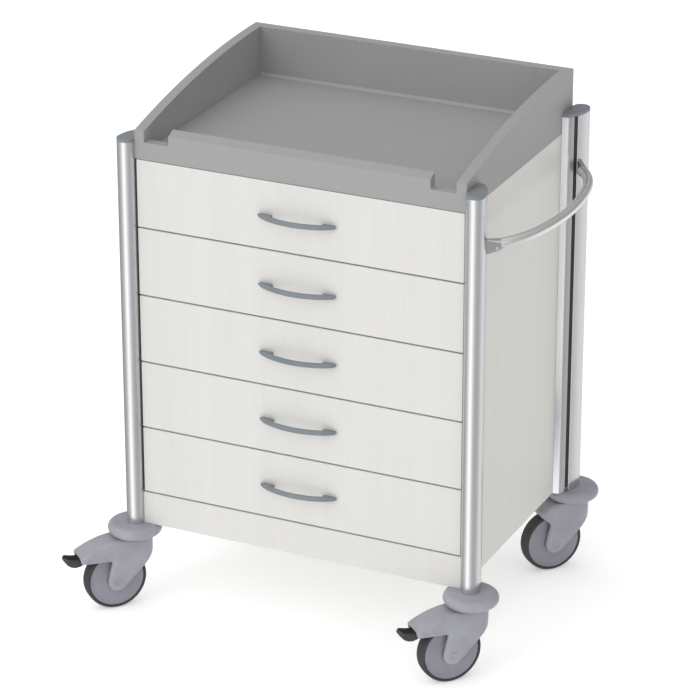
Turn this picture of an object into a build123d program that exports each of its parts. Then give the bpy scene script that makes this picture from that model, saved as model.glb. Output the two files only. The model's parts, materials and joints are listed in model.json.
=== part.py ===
"""Instrument cart: five-drawer cabinet on four swivel casters, with a raised tray on top.

Millimetres, +Z up. The floor is Z = 0 and the drawer fronts face -Y. The origin lies on the
floor under the middle of the whole outline, casters and rail included, so the cabinet stands
a little to the right of it and behind it.
"""
from build123d import *
import os
from math import atan2, cos, degrees, hypot, sin, sqrt

# ---------------------------------------------------------------- cabinet
BODY_WIDTH = 670.0        # outside the side panels
BODY_DEPTH = 510.0        # drawer faces to back panel
CABINET_X = 10.0          # middle of the cabinet from the origin
CABINET_Y = 34.0
CASTER_HEADROOM = 50.0    # top of the wheels to the underside of the cabinet
PLINTH_HEIGHT = 68.0
SIDE_BOARD = 19.0
BOTTOM_BOARD = 19.0
BACK_BOARD = 10.0

# ---------------------------------------------------------------- drawers
DRAWER_COUNT = 5
DRAWER_PITCH = 137.0
FRONT_BOARD = 18.0
FRONT_GAP = 3.0           # between one front and the next
FRONT_SIDE_GAP = 3.0      # front edge to the outside of the side panel
FRONT_AIR = 1.0           # behind a closed front
EDGE_ROUND = 1.0          # edge band on the fronts and the plinth
BOX_LIFT = 14.0           # box underside above its drawer line
BOX_TOP_AIR = 18.0        # box top to the next drawer line
BOX_REAR_AIR = 32.0       # box back to the back panel
BOX_WALL = 12.0
BOX_FLOOR = 8.0

# ---------------------------------------------------------------- telescopic slides
SLIDE_SHORTER = 4.0       # than the drawer box
SLIDE_HEIGHT = 45.0
SLIDE_THICKNESS = 12.7    # side panel to drawer box
SLIDE_SHEET = 1.5
SLIDE_AIR = 0.5           # between nested members

# ---------------------------------------------------------------- handles
HANDLE_LENGTH = 165.0
HANDLE_CENTRES = 128.0
HANDLE_REACH = 30.0
HANDLE_BAND = 12.0        # height of the band
HANDLE_THICKNESS = 8.0
HANDLE_END = 6.0          # depth of the band's ends
HANDLE_TIP = 5.5          # thickness of the band's ends
HANDLE_EASE = 1.6
FOOT_LENGTH = 26.0
FOOT_HEIGHT = 14.0
FOOT_ROUND = 3.0
HANDLE_SCREW = 4.0
HANDLE_SCREW_HEAD = 9.0
HANDLE_SCREW_HEAD_THICKNESS = 2.5
HANDLE_SCREW_GRIP = 9.0   # thread inside the foot
SCREW_CLEARANCE = 0.3

# ---------------------------------------------------------------- top tray
TRAY_FLOOR = 15.0
TRAY_SIDE_WALL = 20.0
TRAY_REAR_WALL = 22.0
TRAY_FRONT_WALL = 20.0
TRAY_REAR_HEIGHT = 114.0  # rear wall top above the tray underside
TRAY_MID_HEIGHT = 100.5   # side wall top halfway back
TRAY_FRONT_HEIGHT = 55.0
LIP_HEIGHT = 53.0         # front lip, front edge
LIP_SLOPE = 8.0           # rise of the lip's top face towards the back
NOTCH_WIDTH = 51.0
NOTCH_HEIGHT = 34.0       # notch bottom above the tray underside
NOTCH_RADIUS = 5.0
TRAY_COVE = 5.0

# ---------------------------------------------------------------- corner posts
POST_WIDTH = 34.5         # out from the side panel
POST_TAIL = 56.0          # nose centre to the end against the panel
POST_HEEL_OUT = 13.0      # width of the blunt end
POST_HEEL_BACK = 53.0
POST_NOSE_PROUD = 1.0     # nose centre in front of the drawer faces
POST_ABOVE_TRAY = 34.0    # post top above the tray's underside
POST_WALL = 2.5
CAP_THICKNESS = 6.0
CAP_ROUND = 2.0
CAP_PLUG = 14.0
GROOVE_BACK = 39.5        # groove centre behind the nose centre
GROOVE_WIDTH = 7.0
GROOVE_DEPTH = 6.5
STRIP_RECESS = 1.2
STRIP_END = 10.0          # strip ends above the post foot and below its top

# ---------------------------------------------------------------- push rail
RAIL_BELOW_POST_TOP = 102.0
RAIL_DIAMETER = 19.0
RAIL_REACH = 47.0         # bow of the rail outside its ends
RAIL_HALF_SPAN = 194.0
RAIL_MIDDLE_HALF = 130.0
RAIL_MIDDLE_RADIUS = 520.0
RAIL_END_OUT = 52.0       # rail end out from the side panel
BRACKET_LENGTH = 57.0
BRACKET_ROOT_HEIGHT = 34.0
BRACKET_TIP_HEIGHT = 22.5
BRACKET_THICKNESS = 23.0
BRACKET_ROOT_THICKNESS = 9.0
SOCKET_DEPTH = 12.0
BRACKET_ROUND = 3.0
RAIL_SCREW = 5.0
RAIL_SCREW_HEAD = 9.0
RAIL_SCREW_HEAD_THICKNESS = 3.0
RAIL_SCREW_ALONG = 17.0   # from the rail's end towards the post
RAIL_SCREW_DROP = 6.0     # below the rail's middle
RAIL_SCREW_SINK = 2.0     # screw head below the bracket's widest

# ---------------------------------------------------------------- casters
WHEEL_RADIUS = 62.5
WHEEL_WIDTH = 32.0
TYRE_THICKNESS = 7.5
TRAIL = 45.0              # swivel axis to wheel axis
AXIS_OUT = 3.0            # swivel axis outside the post's nose centre
CASTER_YAW = -131.0       # way the casters point at rest, about +Z from +X
PLATE_DIAMETER = 106.0
PLATE_THICKNESS = 25.0
PLATE_ROUND = 11.5
STEM_LENGTH = 40.0
STEM_AIR = 0.3
SWIVEL_GAP = 0.3
KINGPIN = 16.0
KINGPIN_LENGTH = 18.0
KINGPIN_END_AIR = 0.2
RUNNING_FIT = 0.05
NECK_BACK = 34.0          # back of the neck from the swivel axis
FORK_HALF_WIDTH = 27.0
WHEEL_SIDE_AIR = 2.5
WHEEL_TOP_AIR = 4.0
LEG_RADIUS = 21.0
FORK_ROUND = 8.0
LEG_HIP = (-22.0, 35.5)        # back of the leg: along the trail, above the axle
LEG_CROTCH = (12.0, 43.5)      # leg meets hood: past the axle, above it
NECK_ABOVE_HIP = 16.0
LEG_FLAT = 2.0                 # lowest point of the leg past the axle
HOOD_START = 20.0              # where the hood's arch leaves the neck
HOOD_CROWN = (80.0, 6.7)       # middle of the arch: along the trail, below the fork's top
HOOD_END_HEIGHT = 14.0
HOOD_LIP = (15.0, -7.0)        # lower end of the hood from the pedal's pivot
HOOD_LEAN = 3.0                # upper end of the hood past its lower end
REAR_HOOD_CROWN = (65.0, 8.0)
REAR_HOOD_END_HEIGHT = 9.0
REAR_HOOD_LIP = (31.0, -1.0)   # past the axle, and from the top of the wheel
REAR_HOOD_LEAN = 2.0
REAR_ROUNDS = (8.0, 25.0, 12.0, 3.0, 3.0)   # crotch, hip, neck, upper and lower hood end
AXLE = 12.0
AXLE_RECESS = 0.5              # axle ends inside the cheeks
HUB_DISH = 3.0
HUB_RECESS = 0.5               # hub faces inside the tyre's
HUB_BOSS = 20.0
HUB_BOSS_FOOT = 24.0
HUB_RIM = 3.0
HUB_RIM_FOOT = 6.0
TYRE_SHOULDER = 4.5

# ---------------------------------------------------------------- brake pedal
PEDAL_PIVOT_FROM_AXLE = (59.0, 55.5)   # along the trail, up
PEDAL_WIDTH = 30.0
PEDAL_BOSS = 8.0
PEDAL_PIN = 6.0
PEDAL_PIN_RECESS = 1.0
PEDAL_POCKET_AIR = 1.0
PEDAL_TIP_ROUND = 12.0
PEDAL_END = 48.0               # furthest reach of the tread from the pivot
SHOE_WIDTH = 22.0

# ---------------------------------------------------------------- derived
BODY_BOTTOM = 2 * WHEEL_RADIUS + CASTER_HEADROOM
HALF_WIDTH = BODY_WIDTH / 2
HALF_DEPTH = BODY_DEPTH / 2
DRAWER_LINE = BODY_BOTTOM + PLINTH_HEIGHT
TRAY_BOTTOM = DRAWER_LINE + DRAWER_COUNT * DRAWER_PITCH
POST_TOP = TRAY_BOTTOM + POST_ABOVE_TRAY
RAIL_HEIGHT = POST_TOP - RAIL_BELOW_POST_TOP
CARCASS_FRONT = -HALF_DEPTH + FRONT_BOARD + FRONT_AIR
INNER_HALF = HALF_WIDTH - SIDE_BOARD
BOX_HALF = INNER_HALF - SLIDE_THICKNESS
BOX_FRONT = -HALF_DEPTH + FRONT_BOARD
BOX_DEPTH = BODY_DEPTH - FRONT_BOARD - BACK_BOARD - BOX_REAR_AIR
BOX_HEIGHT = DRAWER_PITCH - BOX_LIFT - BOX_TOP_AIR
SLIDE_LENGTH = BOX_DEPTH - SLIDE_SHORTER
NOSE_RADIUS = POST_WIDTH / 2
NOSE_Y = -HALF_DEPTH - POST_NOSE_PROUD
AXIS_X = HALF_WIDTH + NOSE_RADIUS + AXIS_OUT
AXIS_Y = HALF_DEPTH
PLATE_BOTTOM = BODY_BOTTOM - PLATE_THICKNESS
FORK_TOP = PLATE_BOTTOM - SWIVEL_GAP
PEDAL_PIVOT = (TRAIL + PEDAL_PIVOT_FROM_AXLE[0], WHEEL_RADIUS + PEDAL_PIVOT_FROM_AXLE[1])
CORNERS = {
    "front_left": (-1, -1),
    "front_right": (1, -1),
    "rear_left": (-1, 1),
    "rear_right": (1, 1),
}


def slab(x0, x1, y0, y1, z0, z1):
    """Box between two corners."""
    middle = Pos((x0 + x1) / 2, (y0 + y1) / 2, (z0 + z1) / 2)
    return middle * Box(x1 - x0, y1 - y0, z1 - z0)


def prism_x(points, x0, x1):
    """Polygon of (y, z) points carried along X."""
    outline = Polyline(*[(x0, y, z) for y, z in points], close=True)
    return extrude(make_face(outline), amount=x1 - x0, dir=(1, 0, 0))


def corner_copy(shape, side, end):
    """Front-right shape put at another corner."""
    if side < 0:
        shape = mirror(shape, about=Plane.YZ)
    if end > 0:
        shape = mirror(shape, about=Plane.XZ)
    return shape


# ---------------------------------------------------------------- carcass
def side_panel(side):
    inner = side * INNER_HALF
    outer = side * HALF_WIDTH
    return slab(min(inner, outer), max(inner, outer), CARCASS_FRONT, HALF_DEPTH, BODY_BOTTOM, TRAY_BOTTOM)


def back_panel():
    return slab(-INNER_HALF, INNER_HALF, HALF_DEPTH - BACK_BOARD, HALF_DEPTH, BODY_BOTTOM, TRAY_BOTTOM)


def bottom_panel():
    rear = HALF_DEPTH - BACK_BOARD
    return slab(-INNER_HALF, INNER_HALF, CARCASS_FRONT, rear, DRAWER_LINE - BOTTOM_BOARD, DRAWER_LINE)


def plinth_panel():
    top = DRAWER_LINE - FRONT_GAP / 2
    board = slab(-HALF_WIDTH, HALF_WIDTH, -HALF_DEPTH, CARCASS_FRONT, BODY_BOTTOM, top)
    return ease_front(board)


def ease_front(board):
    """Small round on the four edges of a board's outside face."""
    face = board.faces().sort_by(Axis.Y)[0]
    return fillet(face.edges(), EDGE_ROUND)


# ---------------------------------------------------------------- top tray
def tray_wall_profile():
    """Side wall outline in (y, z): flat foot, arched top that rises to the rear."""
    front = (-HALF_DEPTH, TRAY_BOTTOM + TRAY_FRONT_HEIGHT)
    middle = (0.0, TRAY_BOTTOM + TRAY_MID_HEIGHT)
    rear = (HALF_DEPTH, TRAY_BOTTOM + TRAY_REAR_HEIGHT)
    arch = ThreePointArc((0, *front), (0, *middle), (0, *rear))
    foot = Polyline((0, *rear), (0, HALF_DEPTH, TRAY_BOTTOM), (0, -HALF_DEPTH, TRAY_BOTTOM), (0, *front))
    return make_face(Wire([arch, *foot.edges()]))


def tray_front_wall():
    """Low front wall with a raised lip between two notches."""
    back = -HALF_DEPTH + TRAY_FRONT_WALL
    inner = HALF_WIDTH - TRAY_SIDE_WALL
    lip_half = inner - NOTCH_WIDTH
    top = TRAY_BOTTOM + LIP_HEIGHT
    outline = [
        (-HALF_DEPTH, TRAY_BOTTOM),
        (back, TRAY_BOTTOM),
        (back, top + LIP_SLOPE),
        (-HALF_DEPTH, top),
    ]
    wall = prism_x(outline, -inner, inner)
    notch_bottom = TRAY_BOTTOM + NOTCH_HEIGHT
    height = LIP_HEIGHT + LIP_SLOPE
    for side in (-1, 1):
        x0, x1 = sorted((side * lip_half, side * (inner + NOTCH_RADIUS)))
        cut = slab(x0, x1, -HALF_DEPTH - 1, back + 1, notch_bottom, notch_bottom + height)
        corner = cut.edges().filter_by(Axis.Y).group_by(Axis.Z)[0].sort_by(Axis.X)
        wall -= fillet(corner[-1 if side < 0 else 0], NOTCH_RADIUS)
    return wall


def top_tray():
    base = slab(-HALF_WIDTH, HALF_WIDTH, -HALF_DEPTH, HALF_DEPTH, TRAY_BOTTOM, TRAY_BOTTOM + TRAY_FLOOR)
    wall = extrude(tray_wall_profile(), amount=TRAY_SIDE_WALL, dir=(1, 0, 0))
    left = Pos(-HALF_WIDTH, 0, 0) * wall
    right = Pos(HALF_WIDTH - TRAY_SIDE_WALL, 0, 0) * wall
    rear_front = HALF_DEPTH - TRAY_REAR_WALL
    rear_top = TRAY_BOTTOM + TRAY_REAR_HEIGHT
    rear = slab(-HALF_WIDTH, HALF_WIDTH, rear_front, HALF_DEPTH, TRAY_BOTTOM, rear_top)
    rear &= Pos(-HALF_WIDTH, 0, 0) * extrude(tray_wall_profile(), amount=BODY_WIDTH, dir=(1, 0, 0))
    floor_top = TRAY_BOTTOM + TRAY_FLOOR
    cove = prism_x(
        [(rear_front - TRAY_COVE, floor_top), (rear_front, floor_top), (rear_front, floor_top + TRAY_COVE)],
        -HALF_WIDTH + TRAY_SIDE_WALL,
        HALF_WIDTH - TRAY_SIDE_WALL,
    )
    return base + left + right + rear + tray_front_wall() + cove


# ---------------------------------------------------------------- corner posts
def post_outer_radius():
    """Radius of the arc that leaves the nose straight back and ends at the heel."""
    step = POST_WIDTH - POST_HEEL_OUT
    return (step**2 + POST_HEEL_BACK**2) / (2 * step)


def post_section():
    """Wing-shaped section of the front-right post, panel side on X = 0, nose towards -Y."""
    nose = ThreePointArc((0, 0), (NOSE_RADIUS, -NOSE_RADIUS), (POST_WIDTH, 0))
    wing = TangentArc((POST_WIDTH, 0), (POST_HEEL_OUT, POST_HEEL_BACK), tangent=(0, 1))
    heel = Polyline((POST_HEEL_OUT, POST_HEEL_BACK), (0, POST_TAIL), (0, 0))
    return make_face(Wire([nose, wing, *heel.edges()]))


def groove_place():
    """Plane on the wing face at the groove, X along the outward normal."""
    radius = post_outer_radius()
    angle = degrees(atan2(GROOVE_BACK, sqrt(radius**2 - GROOVE_BACK**2)))
    out = POST_WIDTH - radius + sqrt(radius**2 - GROOVE_BACK**2)
    return Pos(out, GROOVE_BACK, 0) * Rot(0, 0, angle)


def at_corner(shape, side, end):
    return corner_copy(Pos(HALF_WIDTH, NOSE_Y, 0) * shape, side, end)


def post():
    height = POST_TOP - BODY_BOTTOM
    body = Pos(0, 0, BODY_BOTTOM) * extrude(post_section(), amount=height)
    bore = Pos(NOSE_RADIUS, 0, BODY_BOTTOM + height / 2) * Cylinder(NOSE_RADIUS - POST_WALL, height)
    half = GROOVE_WIDTH / 2
    groove = groove_place() * slab(-GROOVE_DEPTH, NOSE_RADIUS, -half, half, BODY_BOTTOM, POST_TOP)
    return body - bore - groove


def post_strip():
    return groove_place() * slab(
        -GROOVE_DEPTH,
        -STRIP_RECESS,
        -GROOVE_WIDTH / 2,
        GROOVE_WIDTH / 2,
        BODY_BOTTOM + STRIP_END,
        POST_TOP - STRIP_END,
    )


def post_cap():
    """Moulded cap over the post's end, with a plug in its bore."""
    lid = Pos(0, 0, POST_TOP) * extrude(post_section(), amount=CAP_THICKNESS)
    lid = fillet(lid.faces().sort_by(Axis.Z)[-1].edges(), CAP_ROUND)
    plug_radius = NOSE_RADIUS - POST_WALL - SCREW_CLEARANCE
    plug = Pos(NOSE_RADIUS, 0, POST_TOP - CAP_PLUG / 2) * Cylinder(plug_radius, CAP_PLUG)
    return lid + plug


# ---------------------------------------------------------------- push rail
def rail_path():
    """Plan of the rail from front end to rear end, as three tangent arcs."""
    end_x = HALF_WIDTH + RAIL_END_OUT
    bow_x = end_x + RAIL_REACH
    drop = RAIL_MIDDLE_RADIUS - sqrt(RAIL_MIDDLE_RADIUS**2 - RAIL_MIDDLE_HALF**2)
    slope = RAIL_MIDDLE_HALF / RAIL_MIDDLE_RADIUS
    tangent = (-slope, sqrt(1 - slope**2))
    shoulder_front = (bow_x - drop, -RAIL_MIDDLE_HALF)
    shoulder_rear = (bow_x - drop, RAIL_MIDDLE_HALF)
    rear = TangentArc(shoulder_rear, (end_x, RAIL_HALF_SPAN), tangent=tangent)
    front = mirror(rear, about=Plane.XZ)
    middle = ThreePointArc(shoulder_front, (bow_x, 0), shoulder_rear)
    path = Wire([front.edge(), middle.edge(), rear.edge()])
    return Pos(0, 0, RAIL_HEIGHT) * path


def rail_end():
    """Place of the rear end of the rail, X along the way out of the end."""
    path = rail_path()
    edge = path.edges().sort_by(Axis.Y)[-1]
    at_end = edge.position_at(1)
    way = edge.tangent_at(1)
    if at_end.Y < edge.position_at(0).Y:
        at_end = edge.position_at(0)
        way = -edge.tangent_at(0)
    return Pos(at_end.X, at_end.Y, RAIL_HEIGHT) * Rot(0, 0, degrees(atan2(way.Y, way.X)))


def push_rail():
    path = rail_path()
    start = path.edges().sort_by(Axis.Y)[0]
    ring = Plane(origin=start.position_at(0), z_dir=start.tangent_at(0)) * Circle(RAIL_DIAMETER / 2)
    return sweep(ring, path=path)


def rail_bracket_blank():
    """Rear bracket: tall and thin at the post, round enough to socket the rail's end."""
    back = BRACKET_LENGTH - SOCKET_DEPTH
    half_root = BRACKET_ROOT_HEIGHT / 2
    half_tip = BRACKET_TIP_HEIGHT / 2
    thin = BRACKET_ROOT_THICKNESS / 2
    thick = BRACKET_THICKNESS / 2
    tall = extrude(
        make_face(
            Polyline(
                (-SOCKET_DEPTH, 0, -half_tip),
                (back, 0, -half_root),
                (back, 0, half_root),
                (-SOCKET_DEPTH, 0, half_tip),
                close=True,
            )
        ),
        amount=BRACKET_THICKNESS,
        dir=(0, 1, 0),
        both=True,
    )
    wedge = Polygon((-SOCKET_DEPTH, -thick), (back, -thin), (back, thin), (-SOCKET_DEPTH, thick), align=None)
    return tall & extrude(wedge, amount=BRACKET_ROOT_HEIGHT, both=True)


def rail_screw(clearance):
    """Button-head screw across the flat of the bracket, in the rail end's own place."""
    half = BRACKET_THICKNESS / 2
    seat = half - RAIL_SCREW_HEAD_THICKNESS - RAIL_SCREW_SINK
    across = Pos(RAIL_SCREW_ALONG, 0, -RAIL_SCREW_DROP) * Rot(90, 0, 0)
    shank = across * Pos(0, 0, seat / 2) * Cylinder(RAIL_SCREW / 2 + clearance, seat)
    height = RAIL_SCREW_HEAD_THICKNESS + 4 * clearance
    head = across * Pos(0, 0, seat + height / 2) * Cylinder(RAIL_SCREW_HEAD / 2 + clearance, height)
    return shank + head


def rail_bracket_rear():
    blank = rail_bracket_blank()
    long_edges = blank.edges().filter_by(lambda e: abs(e.tangent_at(0.5).X) > 0.5)
    blank = fillet(long_edges, BRACKET_ROUND)
    shape = rail_end() * (blank - rail_screw(SCREW_CLEARANCE))
    post_block = at_corner(extrude(post_section(), amount=POST_TOP), 1, 1)
    return shape - post_block - push_rail()


# ---------------------------------------------------------------- drawers
def drawer_line(index):
    """Height of the line under drawer number index, counted from the top, starting at 1."""
    return TRAY_BOTTOM - index * DRAWER_PITCH


def drawer_front(index):
    z0 = drawer_line(index) + FRONT_GAP / 2
    z1 = drawer_line(index) + DRAWER_PITCH - FRONT_GAP / 2
    half = HALF_WIDTH - FRONT_SIDE_GAP
    board = ease_front(slab(-half, half, -HALF_DEPTH, BOX_FRONT, z0, z1))
    return board - handle_screw_holes(index)


def handle_screw_holes(index):
    radius = HANDLE_SCREW / 2 + SCREW_CLEARANCE
    middle = (-HALF_DEPTH + BOX_FRONT + BOX_WALL) / 2
    holes = []
    for side in (-1, 1):
        place = Pos(side * HANDLE_CENTRES / 2, middle, handle_height(index)) * Rot(90, 0, 0)
        holes.append(place * Cylinder(radius, FRONT_BOARD + BOX_WALL + 2))
    return holes[0] + holes[1]


def drawer_box(index):
    z0 = drawer_line(index) + BOX_LIFT
    back = BOX_FRONT + BOX_DEPTH
    outer = slab(-BOX_HALF, BOX_HALF, BOX_FRONT, back, z0, z0 + BOX_HEIGHT)
    inner = slab(
        -BOX_HALF + BOX_WALL,
        BOX_HALF - BOX_WALL,
        BOX_FRONT + BOX_WALL,
        back - BOX_WALL,
        z0 + BOX_FLOOR,
        z0 + BOX_HEIGHT + 1,
    )
    return outer - inner - handle_screw_holes(index)


def handle_height(index):
    return drawer_line(index) + DRAWER_PITCH / 2


def handle_arcs():
    """Outer and inner arcs of the band in plan."""
    half = HANDLE_LENGTH / 2
    tip = -HALF_DEPTH - HANDLE_END
    crest = -HALF_DEPTH - HANDLE_REACH
    outer = ThreePointArc((-half, tip), (0, crest), (half, tip))
    inner = ThreePointArc((-half, tip + HANDLE_TIP), (0, crest + HANDLE_THICKNESS), (half, tip + HANDLE_TIP))
    return outer, inner


def handle_band():
    """Flat band bent to an arc, with eased edges."""
    outer, inner = handle_arcs()
    ends = [Line(outer @ at, inner @ at) for at in (0, 1)]
    outline = Wire([line.edge() for line in (outer, inner, *ends)])
    band = extrude(make_face(outline), amount=HANDLE_BAND / 2, both=True)
    faces = band.faces().sort_by(Axis.Z)
    return fillet(faces[0].edges() + faces[-1].edges(), HANDLE_EASE)


def handle_feet():
    """Block behind each end of the band, from the drawer's face out to the band's outer arc."""
    outer = handle_arcs()[0]
    half = HANDLE_LENGTH / 2
    base = Polyline(outer @ 0, (-half, -HALF_DEPTH), (half, -HALF_DEPTH), outer @ 1)
    room = extrude(make_face(Wire([outer.edge(), *base.edges()])), amount=FOOT_HEIGHT / 2, both=True)
    feet = []
    for side in (-1, 1):
        x0 = side * HANDLE_CENTRES / 2 - FOOT_LENGTH / 2
        up = FOOT_HEIGHT / 2
        block = slab(x0, x0 + FOOT_LENGTH, -HALF_DEPTH - HANDLE_REACH, -HALF_DEPTH, -up, up)
        feet.append(fillet(block.edges().filter_by(Axis.Y), FOOT_ROUND) & room)
    return feet


def handle_bow(index):
    """Band and feet, with a thread in each foot."""
    bow = handle_band()
    for foot in handle_feet():
        bow += foot
    for side in (-1, 1):
        place = Pos(side * HANDLE_CENTRES / 2, -HALF_DEPTH - HANDLE_SCREW_GRIP / 2, 0) * Rot(90, 0, 0)
        bow -= place * Cylinder(HANDLE_SCREW / 2 + RUNNING_FIT, HANDLE_SCREW_GRIP + 4 * RUNNING_FIT)
    return Pos(0, 0, handle_height(index)) * bow


def handle_screw(index, side):
    """Screw from inside the drawer through box and front into the handle's foot."""
    inside = BOX_FRONT + BOX_WALL
    tip = -HALF_DEPTH - HANDLE_SCREW_GRIP
    shank = Pos(0, (inside + tip) / 2, 0) * Rot(90, 0, 0) * Cylinder(HANDLE_SCREW / 2, inside - tip)
    head = Pos(0, inside + HANDLE_SCREW_HEAD_THICKNESS / 2, 0) * Rot(90, 0, 0)
    head = head * Cylinder(HANDLE_SCREW_HEAD / 2, HANDLE_SCREW_HEAD_THICKNESS)
    return Pos(side * HANDLE_CENTRES / 2, 0, handle_height(index)) * (shank + head)


# ---------------------------------------------------------------- telescopic slides
def channel(x0, x1, half_height, web_first, length):
    """C section between x0 and x1, open towards the far side of its web."""
    outer = slab(x0, x1, 0, length, -half_height, half_height)
    inner_half = half_height - SLIDE_SHEET
    if web_first:
        cut = slab(x0 + SLIDE_SHEET, x1 + 1, -1, length + 1, -inner_half, inner_half)
    else:
        cut = slab(x0 - 1, x1 - SLIDE_SHEET, -1, length + 1, -inner_half, inner_half)
    return outer - cut


def slide_members():
    """Cabinet, middle and drawer members of a right-hand slide, panel face on X = 0, drawer at -X."""
    half = SLIDE_HEIGHT / 2
    step = SLIDE_SHEET + SLIDE_AIR
    cabinet = channel(0, SLIDE_THICKNESS - 2 * step, half, True, SLIDE_LENGTH)
    middle = channel(step, SLIDE_THICKNESS - step, half - step, True, SLIDE_LENGTH)
    drawer = channel(2 * step, SLIDE_THICKNESS, half - 2 * step, False, SLIDE_LENGTH)
    return [mirror(member, about=Plane.YZ) for member in (cabinet, middle, drawer)]


def slide_pair(index, which):
    """One member at each side of a drawer."""
    member = slide_members()[which]
    height = drawer_line(index) + BOX_LIFT + BOX_HEIGHT / 2
    right = Pos(INNER_HALF, CARCASS_FRONT + FRONT_AIR, height) * member
    return [right, mirror(right, about=Plane.YZ)]


# ---------------------------------------------------------------- casters
def tangent_point(point, centre, radius, turn):
    """Where a line from the point touches a circle, on the side that turn (+1 or -1) picks."""
    dx = point[0] - centre[0]
    dz = point[1] - centre[1]
    angle = atan2(dz, dx) + turn * atan2(sqrt(hypot(dx, dz) ** 2 - radius**2), radius)
    return (centre[0] + radius * cos(angle), centre[1] + radius * sin(angle))


def caster_plate():
    """Round housing under a post with a stem up inside the post's bore."""
    disc = Pos(0, 0, BODY_BOTTOM - PLATE_THICKNESS / 2) * Cylinder(PLATE_DIAMETER / 2, PLATE_THICKNESS)
    disc = fillet(disc.edges().filter_by(GeomType.CIRCLE), PLATE_ROUND)
    bore = Cylinder(KINGPIN / 2 + RUNNING_FIT, 2 * KINGPIN_LENGTH)
    return disc - Pos(0, 0, PLATE_BOTTOM) * bore


def post_stem():
    """Stem of a caster in its post's bore, in the post's own place."""
    radius = NOSE_RADIUS - POST_WALL - STEM_AIR
    return Pos(NOSE_RADIUS, 0, BODY_BOTTOM + STEM_LENGTH / 2) * Cylinder(radius, STEM_LENGTH)


def fork_corners(braked):
    """Crotch, hip, back of the neck, and upper and lower end of the hood, in (trail, height)."""
    crotch = (TRAIL + LEG_CROTCH[0], WHEEL_RADIUS + LEG_CROTCH[1])
    hip = (LEG_HIP[0], WHEEL_RADIUS + LEG_HIP[1])
    neck = (-NECK_BACK, hip[1] + NECK_ABOVE_HIP)
    if braked:
        low = (PEDAL_PIVOT[0] + HOOD_LIP[0], PEDAL_PIVOT[1] + HOOD_LIP[1])
        high = (low[0] + HOOD_LEAN, low[1] + HOOD_END_HEIGHT)
    else:
        low = (TRAIL + REAR_HOOD_LIP[0], 2 * WHEEL_RADIUS + REAR_HOOD_LIP[1])
        high = (low[0] + REAR_HOOD_LEAN, low[1] + REAR_HOOD_END_HEIGHT)
    return crotch, hip, neck, high, low


def fork_side(braked):
    """Side view of the fork in (trail, height): leg down to the axle, hood over the wheel."""
    axle = (TRAIL, WHEEL_RADIUS)
    crotch, hip, neck, high, low = fork_corners(braked)
    back = tangent_point(hip, axle, LEG_RADIUS, 1)
    front = tangent_point(crotch, axle, LEG_RADIUS, -1)
    bottom = (TRAIL + LEG_FLAT, WHEEL_RADIUS - sqrt(LEG_RADIUS**2 - LEG_FLAT**2))
    crown_along, crown_drop = HOOD_CROWN if braked else REAR_HOOD_CROWN
    arch_start = (HOOD_START, FORK_TOP)
    outline = [
        *Polyline(high, low, crotch, front).edges(),
        ThreePointArc(front, bottom, back).edge(),
        *Polyline(back, hip, neck, (-NECK_BACK, FORK_TOP), arch_start).edges(),
        ThreePointArc(arch_start, (crown_along, FORK_TOP - crown_drop), high).edge(),
    ]
    return make_face(Wire(outline))


def fork_plan():
    """Plan with parallel cheeks and a round back."""
    middle = FORK_HALF_WIDTH - NECK_BACK
    reach = PEDAL_PIVOT[0] + HOOD_LIP[0] + HOOD_LEAN
    straight = Pos(middle + reach, 0) * Rectangle(2 * reach, 2 * FORK_HALF_WIDTH)
    return Pos(middle, 0) * Circle(FORK_HALF_WIDTH) + straight


def stand(face, half):
    """Face drawn in (trail, height) carried both ways across the wheel."""
    return Rot(90, 0, 0) * extrude(face, amount=half, both=True)


def soften(face, corners, radii):
    """Round an outline's corners."""
    outline = Sketch() + face
    for (x, z), radius in zip(corners, radii):
        vertex = min(outline.vertices(), key=lambda v: hypot(v.X - x, v.Y - z))
        outline = fillet(vertex, radius)
    return outline


def fork_blank(braked):
    """Fork before its holes: side view and plan crossed, then rounded along the cheeks."""
    side = fork_side(braked)
    if not braked:
        side = soften(side, fork_corners(braked), REAR_ROUNDS)
    blank = stand(side, FORK_HALF_WIDTH + 1.0) & extrude(fork_plan(), amount=FORK_TOP)
    return fillet(cheek_edges(blank), FORK_ROUND)


def cheek_edges(blank):
    """Outline edges of both cheeks, without the seams where the cheeks meet the round back."""
    edges = []
    for edge in blank.edges():
        seam = abs(edge.center().X - FORK_HALF_WIDTH + NECK_BACK) < 0.1 and abs(edge.tangent_at(0.5).Z) > 0.9
        below_top = edge.center().Z < FORK_TOP - 0.2
        if below_top and abs(edge.center().Y) > WHEEL_WIDTH / 2 and not seam:
            edges.append(edge)
    return edges


def caster_fork(braked):
    half = WHEEL_WIDTH / 2 + WHEEL_SIDE_AIR
    axle_line = Pos(TRAIL, 0, WHEEL_RADIUS) * Rot(90, 0, 0)
    room = axle_line * Cylinder(WHEEL_RADIUS + WHEEL_TOP_AIR, 2 * half)
    axle_hole = axle_line * Cylinder(AXLE / 2 + RUNNING_FIT, 4 * half)
    pin_hole = Pos(0, 0, FORK_TOP) * Cylinder(KINGPIN / 2 + RUNNING_FIT, 2 * KINGPIN_LENGTH)
    fork = fork_blank(braked) - room - axle_hole - pin_hole
    if braked:
        fork = fork - pedal_pocket() - pedal_pin(4 * FORK_HALF_WIDTH, RUNNING_FIT)
    return fork


def from_pivot(*offsets):
    """Points given from the pedal's pivot, in (trail, height)."""
    return [(PEDAL_PIVOT[0] + x, PEDAL_PIVOT[1] + z) for x, z in offsets]


def pedal_pocket():
    """Hollow in the hood's end for the pedal."""
    outline = Polygon(*from_pivot((-16, -22), (-16, 14), (0, 12), (24, 1), (24, -28)), align=None)
    return stand(outline, PEDAL_WIDTH / 2 + PEDAL_POCKET_AIR)


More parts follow.
